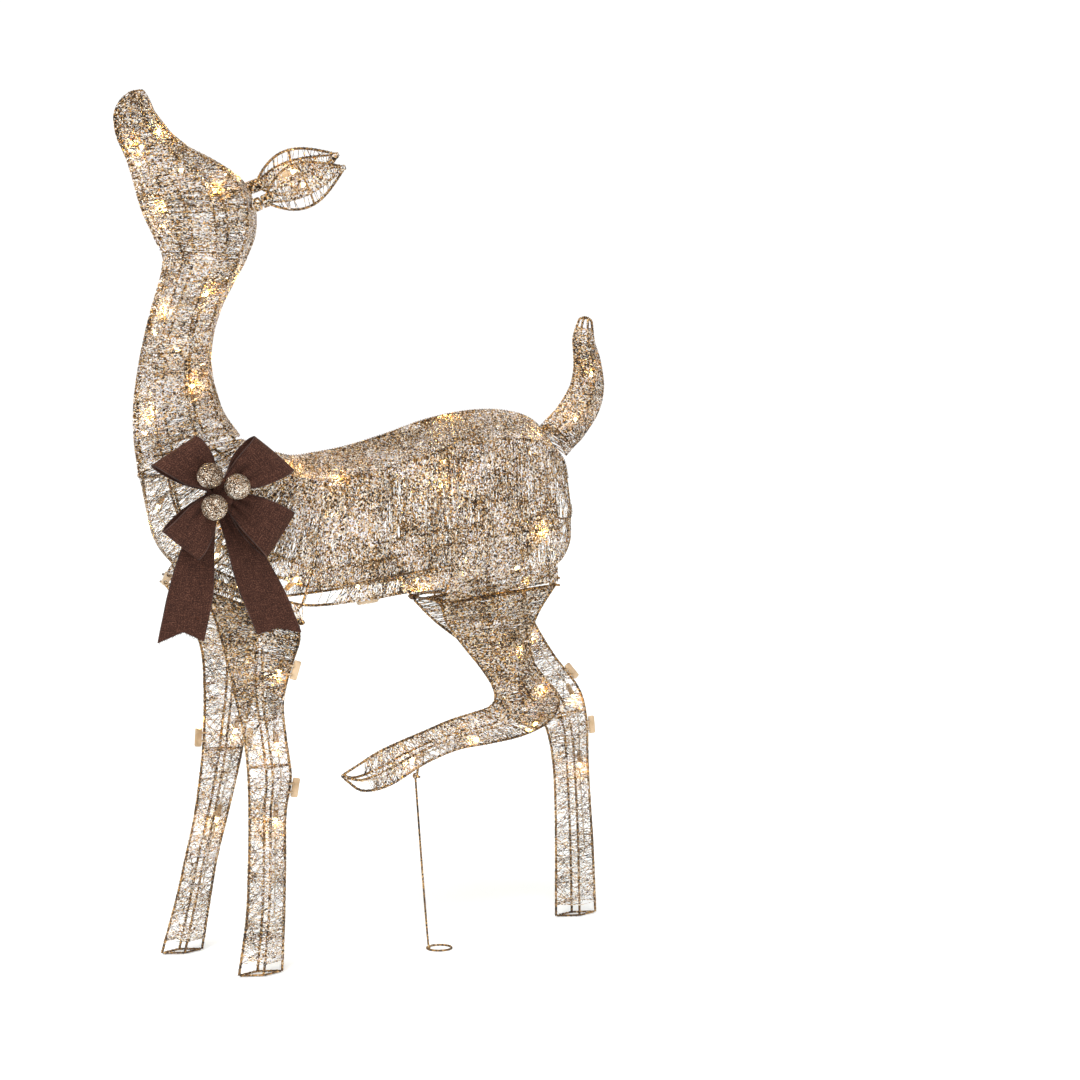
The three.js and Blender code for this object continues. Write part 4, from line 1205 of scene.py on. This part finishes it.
BOW = np.array([-68.0, 0.0, 674.0])
TAILS_Y = -110.0
LOWER_LOOPS_Y = -124.0
UPPER_LOOPS_Y = -130.0
KNOT_Y = -137.0
BERRIES_Y = -159.0
KNOT_HALF = 15.5
KNOT_HEIGHT = 17.5
KNOT_DEPTH = 9
KNOT_ROWS, KNOT_COLUMNS = 90, 45
PINCH = 12.0
RIBBON_HALF = RIBBON_WIDTH / 2
LOOP_PROFILE = [(0.16, 0.12, 0.0), (0.5, 0.85, 0.7), (0.85, 0.95, 1.1), (1.0, 0.0, 1.2)]
LEFT_NOTCH, RIGHT_NOTCH = 14.0, 9.0
PLEATS = 3
PLEAT_REACH = 52.0
WEAVE_RELIEF = 0.32
KNOT_RELIEF = 0.18
BURLAP_THICK = 0.9
SELVAGE_RADIUS = 0.8


def turned_about_y(vector, degrees):
    cosine, sine = math.cos(math.radians(degrees)), math.sin(math.radians(degrees))
    x, y, z = vector
    return np.array([x * cosine + z * sine, y, z * cosine - x * sine])


def loop_rows(y, end, depth, skew):
    """Rows out over the back of one loop, round its end and in over its front: centre, across, half width."""
    x, z, fullness = (*end, 1.0)[:3]
    length = math.hypot(x, z)
    side = math.copysign(1, x)
    radial = np.array([x / length, 0, z / length])
    square = np.array([-radial[2], 0, radial[0]]) * side
    rows = []
    for face, profile in ((-1, LOOP_PROFILE[:-1]), (1, LOOP_PROFILE[::-1])):
        for reach, bulge, widening in profile:
            half = PINCH + (RIBBON_HALF - PINCH) * widening * fullness
            across = turned_about_y(square, -side * skew * reach)
            centre = np.array([BOW[0], y - face * bulge * depth, BOW[2]]) + length * reach * radial
            rows.append((*centre, *across, half))
    return rows


def double_loop_rows(y, left, right, depth, skew):
    middle = (BOW[0], y - 2, BOW[2], 0, 0, 1, PINCH)
    return [*loop_rows(y, left, depth, skew), middle, *loop_rows(y, right, depth, skew)[::-1]]


def tail_rows(end_x, end_z, lean):
    start = BOW + (math.copysign(12, lean), TAILS_Y, -16)
    end = np.array([end_x, TAILS_Y, end_z])
    rows = []
    for share in np.linspace(0, 1, 7):
        half = PINCH + (RIBBON_HALF - PINCH) * min(share / 0.6, 1)
        ripple = 1.6 * math.sin(share * 7 + lean)
        rows.append((*(start + (end - start) * share + (0, ripple, 0)), 1, 0, 0, half))
    return rows


def weave_height(rows, columns):
    """Yarns over and under each other on a grid of half a yarn's pitch."""
    row, column = np.meshgrid(np.arange(rows), np.arange(columns), indexing="ij")
    crossing = (row % 2 == 0) & (column % 2 == 0)
    over = np.where((row // 2 + column // 2) % 2 == 0, 1.0, -1.0)
    return np.where(crossing, over, 0.0)


def gather_depth(half):
    """How deep the pleats are where the ribbon is pinched to a half width."""
    surplus = np.clip(RIBBON_HALF / half - 1, 0, None)
    return 2 * half / PLEATS * np.sqrt(surplus) / math.pi


def woven_piece(name, node, grid, faces):
    """A piece of burlap on a grid of points, with its weave laid out for the material."""
    shape = Shape()
    shape.add(grid, faces)
    piece = shape.make(name, BURLAP, "torso", "burlap", node)
    mesh = piece.data
    corner = np.empty(len(mesh.loops), int)
    mesh.loops.foreach_get("vertex_index", corner)
    weave = np.stack([corner % grid.shape[1], corner // grid.shape[1]], axis=1) * 0.5
    layer = mesh.uv_layers.new(name="weave")
    layer.data.foreach_set("uv", weave.astype(np.float32).ravel())
    thickness = piece.modifiers.new("cloth", "SOLIDIFY")
    thickness.thickness = BURLAP_THICK / 1000
    thickness.offset = 0
    return piece


def make_ribbon(name, rows, seed, notch=0.0):
    """A woven ribbon with wired edges along smooth rows, in place of a CAD ribbon."""
    rng = np.random.default_rng(seed)
    rows = np.array(rows, float)
    fine = smooth_rows(rows, np.linspace(0, len(rows) - 1, 60 * len(rows)))
    along = distances(fine[:, :3])
    length = along[-1]
    count, columns = int(length / (WEAVE_PITCH / 2)) + 1, int(RIBBON_WIDTH / (WEAVE_PITCH / 2)) + 1
    wanted = np.linspace(0, length, count)
    dense = read_at(wanted, along, fine)
    centre, across, half = dense[:, :3], unit(dense[:, 3:6]), dense[:, 6]
    normal = unit(np.cross(unit(np.gradient(centre, axis=0)), across))
    share = np.linspace(-1, 1, columns)
    phase = rng.uniform(-0.5, 0.5)
    from_knot = np.linalg.norm(centre[:, ::2] - BOW[::2], axis=1)
    fade = np.exp(-(from_knot / PLEAT_REACH) ** 4)
    pleat = (gather_depth(half) * fade)[:, None] * np.cos(math.pi * PLEATS * share + phase)[None]
    sway = 1.3 * np.sin(wanted / 17.0 + phase * 4)[:, None] * share[None] ** 2
    sway = sway + 0.9 * np.sin(wanted / 29.0 + 2.0)[:, None] * share[None]
    height = pleat + sway + WEAVE_RELIEF * weave_height(count, columns)
    grid = centre[:, None] + (half[:, None] * share)[..., None] * across[:, None]
    grid = grid + height[..., None] * normal[:, None]
    kept = np.ones((count, columns), bool)
    if notch:
        kept = (length - wanted)[:, None] > notch * (1 - np.abs(share))[None]
    whole = kept.ravel()
    faces = [face for face in cell_faces(count, columns) if whole[face].all()]
    piece = woven_piece(f"ribbon_{name}", f"bow_{name}", grid, faces)
    edges = Shape()
    for column in (0, columns - 1):
        add_tube(edges, grid[kept[:, column], column][::2], SELVAGE_RADIUS, 8)
    if notch:
        add_fray(edges, grid, kept, rng)
    edge = edges.make(f"ribbon_{name}_wired_edge", BURLAP_YARN, "torso", "burlap")


def add_fray(shape, grid, kept, rng):
    """Loose yarn ends along the cut."""
    for column in range(2, grid.shape[1] - 2, 2):
        row = int(np.nonzero(kept[:, column])[0][-1])
        point = grid[row, column]
        out = unit(point - grid[row - 6, column])
        drift = rng.normal(0, 0.25, 3)
        reach = rng.uniform(0.8, 2.4)
        points = [point - 2 * out, point + reach * 0.5 * out + drift, point + reach * out + 3 * drift]
        add_tube(shape, evenly(points, 1.2), 0.28, 4)


def build_knot():
    """The ribbon band that grips the bow's middle, bulging, with pleats across its face."""
    rng = np.random.default_rng(47)
    turns = np.linspace(math.radians(-62), math.radians(242), KNOT_ROWS)[:, None]
    share = np.linspace(-1, 1, KNOT_COLUMNS)
    pinch = 1 - 0.14 * (1 - np.abs(share)) ** 1.5
    crease = 0.9 * np.cos(share * math.pi * 4.5 + 0.6) + rng.normal(0, 0.12, len(share))
    bulge = (1 + 0.035 * crease) * pinch
    x = BOW[0] + share * KNOT_HALF * (0.93 + 0.07 * np.cos(turns * 2))
    y = KNOT_Y + 7 - KNOT_DEPTH * np.sin(turns) * bulge
    z = BOW[2] + KNOT_HEIGHT * np.cos(turns) * bulge
    grid = np.stack([x, y, z], axis=2)
    normal = unit(np.cross(np.gradient(grid, axis=0), np.gradient(grid, axis=1)))
    grid = grid + KNOT_RELIEF * weave_height(KNOT_ROWS, KNOT_COLUMNS)[..., None] * normal
    piece = woven_piece("bow_center_band", "bow_knot", grid, cell_faces(KNOT_ROWS, KNOT_COLUMNS))


def build_ball(name, x, z, seed):
    """A ball crusted with coarse glitter."""
    rng = np.random.default_rng(seed)
    place = BOW + (x, BERRIES_Y, z)
    body = bmesh.new()
    bmesh.ops.create_icosphere(body, subdivisions=6, radius=1.0)
    points = np.array([vertex.co for vertex in body.verts])
    faces = [[vertex.index for vertex in face.verts] for face in body.faces]
    body.free()
    lumps = 0.10 * np.sin(points @ rng.normal(0, 3.0, 3)) + 0.10 * np.sin(points @ rng.normal(0, 4.0, 3))
    radius = BERRY_RADIUS - 0.35 + lumps + rng.uniform(-0.3, 0.3, len(points))
    shape = Shape()
    shape.add(place + points * radius[:, None], faces, rng.uniform(0, 1, len(points)))
    shape.make(f"glitter_ball_{name}", BALL, "torso", "glitter_ball", f"bow_ball_{name}", smooth=False)


def build_tie_wire():
    """The wire that holds the bow to the frame: two strands twisted together."""
    shape = Shape()
    back, front = (BOW[0], -92, BOW[2] - 2), (BOW[0], -121, BOW[2])
    for radius in (0.55, -0.55):
        add_coil(shape, back, front, radius, 0.5, turns=6, steps=16)
    shape.make("bow_twist_tie", METAL, "torso", "frame_wire", "bow_tie_wire")


def build_bow():
    upper = double_loop_rows(UPPER_LOOPS_Y, (-64, 54), (77, 51), 14, 16)
    lower = double_loop_rows(LOWER_LOOPS_Y, (-54, -73, 0.8), (88, -62), 11, 0)
    make_ribbon("upper_loops", upper, 41)
    make_ribbon("lower_loops", lower, 42)
    make_ribbon("left_tail", tail_rows(-118, 470, -1), 43, LEFT_NOTCH)
    make_ribbon("right_tail", tail_rows(23, 476, 1), 44, RIGHT_NOTCH)
    build_knot()
    build_tie_wire()
    for number, (name, x, z) in enumerate((("left", -24, 21), ("right", 14, 6), ("lower", -18, -21))):
        build_ball(name, x, z, 50 + number)


# ---------- power inlet ----------

INLET_START, INLET_END = np.array([182.0, 0.0, 508.0]), np.array([214.0, 0.0, 512.0])
INLET_PROFILE = [
    (2.4, 0.60), (2.4, 0.02), (3.2, 0.00), (5.0, 0.00), (5.8, 0.03), (6.0, 0.10), (5.4, 0.14), (5.4, 0.20),
    (6.0, 0.24), (6.0, 0.34), (5.4, 0.38), (5.4, 0.44), (6.0, 0.48), (6.0, 0.84), (5.6, 0.94), (4.0, 1.00),
]


def build_inlet():
    shape = Shape()
    add_lathe(shape, INLET_START, INLET_END, INLET_PROFILE, 32)
    shape.make("power_socket", CLIP, "torso", "clip_plastic", "power_inlet")


# ---------- camera, floor and light, in metres ----------

CAMERA_PLACE = (-1.2325, -2.9019, 0.7485)
CAMERA_AIM = (0.4540, 0.8910)
CAMERA_DIP = 2.77
CAMERA_LENS = 72.97
FLOOR_COLOUR = (0.90, 0.90, 0.90)
FLOOR_GLOW = 0.28
FLOOR_REACH = 30.0
SOFT_BOXES = (("key", (-2.4, -2.6, 2.2), 1.4, 34), ("fill", (2.6, -2.4, 1.2), 2.2, 8))
BOX_TARGET = (0.0, 0.0, 0.65)
BACKDROP_STRENGTH = 1.05
ROOM_COLOUR = (1.0, 0.97, 0.91)
ROOM_STRENGTH = 0.66
SUN_STRENGTH = 1.9


def make_camera():
    data = bpy.data.cameras.new("camera")
    data.lens = CAMERA_LENS
    data.sensor_width = 36
    camera = link(bpy.data.objects.new("camera", data))
    camera.location = CAMERA_PLACE
    dip = math.radians(CAMERA_DIP)
    turn_towards(camera, (*(part * math.cos(dip) for part in CAMERA_AIM), -math.sin(dip)))
    bpy.context.scene.camera = camera


def make_floor():
    """A pale floor that reaches well past the view, with a faint mottle."""
    edge = np.linspace(-FLOOR_REACH, FLOOR_REACH, 25)
    mesh = bpy.data.meshes.new("floor")
    mesh.from_pydata([(x, y, 0.0) for y in edge for x in edge], [], cell_faces(25, 25))
    graph = Graph("pale_floor")
    stops = [(0.3, FLOOR_COLOUR), (0.7, tuple(0.02 + part for part in FLOOR_COLOUR))]
    mesh.materials.append(graph.finish(
        Base_Color=graph.ramp(graph.noise(graph.place(), 3), stops), Roughness=0.9,
        Emission_Color=(0.80, 0.92, 1.0, 1), Emission_Strength=FLOOR_GLOW,
    ))
    link(bpy.data.objects.new("floor", mesh))


def make_lighting():
    """A soft sun for the floor and shading, two soft boxes, and a white room."""
    sun = add_light("soft_sun", "SUN", SUN_STRENGTH, angle=math.radians(35))
    turn_towards(sun, (0.45, 0.55, -1.0))
    for name, place, size, power in SOFT_BOXES:
        box = add_light(name, "AREA", power, place, size=size)
        turn_towards(box, Vector(BOX_TARGET) - Vector(place))
    world = bpy.data.worlds.new("studio")
    world.use_nodes = True
    nodes, links = world.node_tree.nodes, world.node_tree.links
    seen, lit = nodes["Background"], nodes.new("ShaderNodeBackground")
    for node, colour, strength in ((seen, (1, 1, 1), BACKDROP_STRENGTH), (lit, ROOM_COLOUR, ROOM_STRENGTH)):
        node.inputs["Color"].default_value = (*colour, 1)
        node.inputs["Strength"].default_value = strength
    path, mix = nodes.new("ShaderNodeLightPath"), nodes.new("ShaderNodeMixShader")
    links.new(path.outputs["Is Camera Ray"], mix.inputs[0])
    links.new(lit.outputs[0], mix.inputs[1])
    links.new(seen.outputs[0], mix.inputs[2])
    links.new(mix.outputs[0], nodes["World Output"].inputs["Surface"])
    bpy.context.scene.world = world
    bpy.context.scene.view_settings.view_transform = "Standard"


# ---------- the whole doe ----------

make_camera()
make_floor()
make_lighting()
build_torso()
build_neck_and_head()
for number, ear in enumerate(EARS):
    build_ear(ear, 21 + number)
for number, leg in enumerate(LEGS):
    build_leg(leg, 24 + number)
build_support_rod()
build_tail()
build_bow()
build_inlet()
put_lamp_lights()
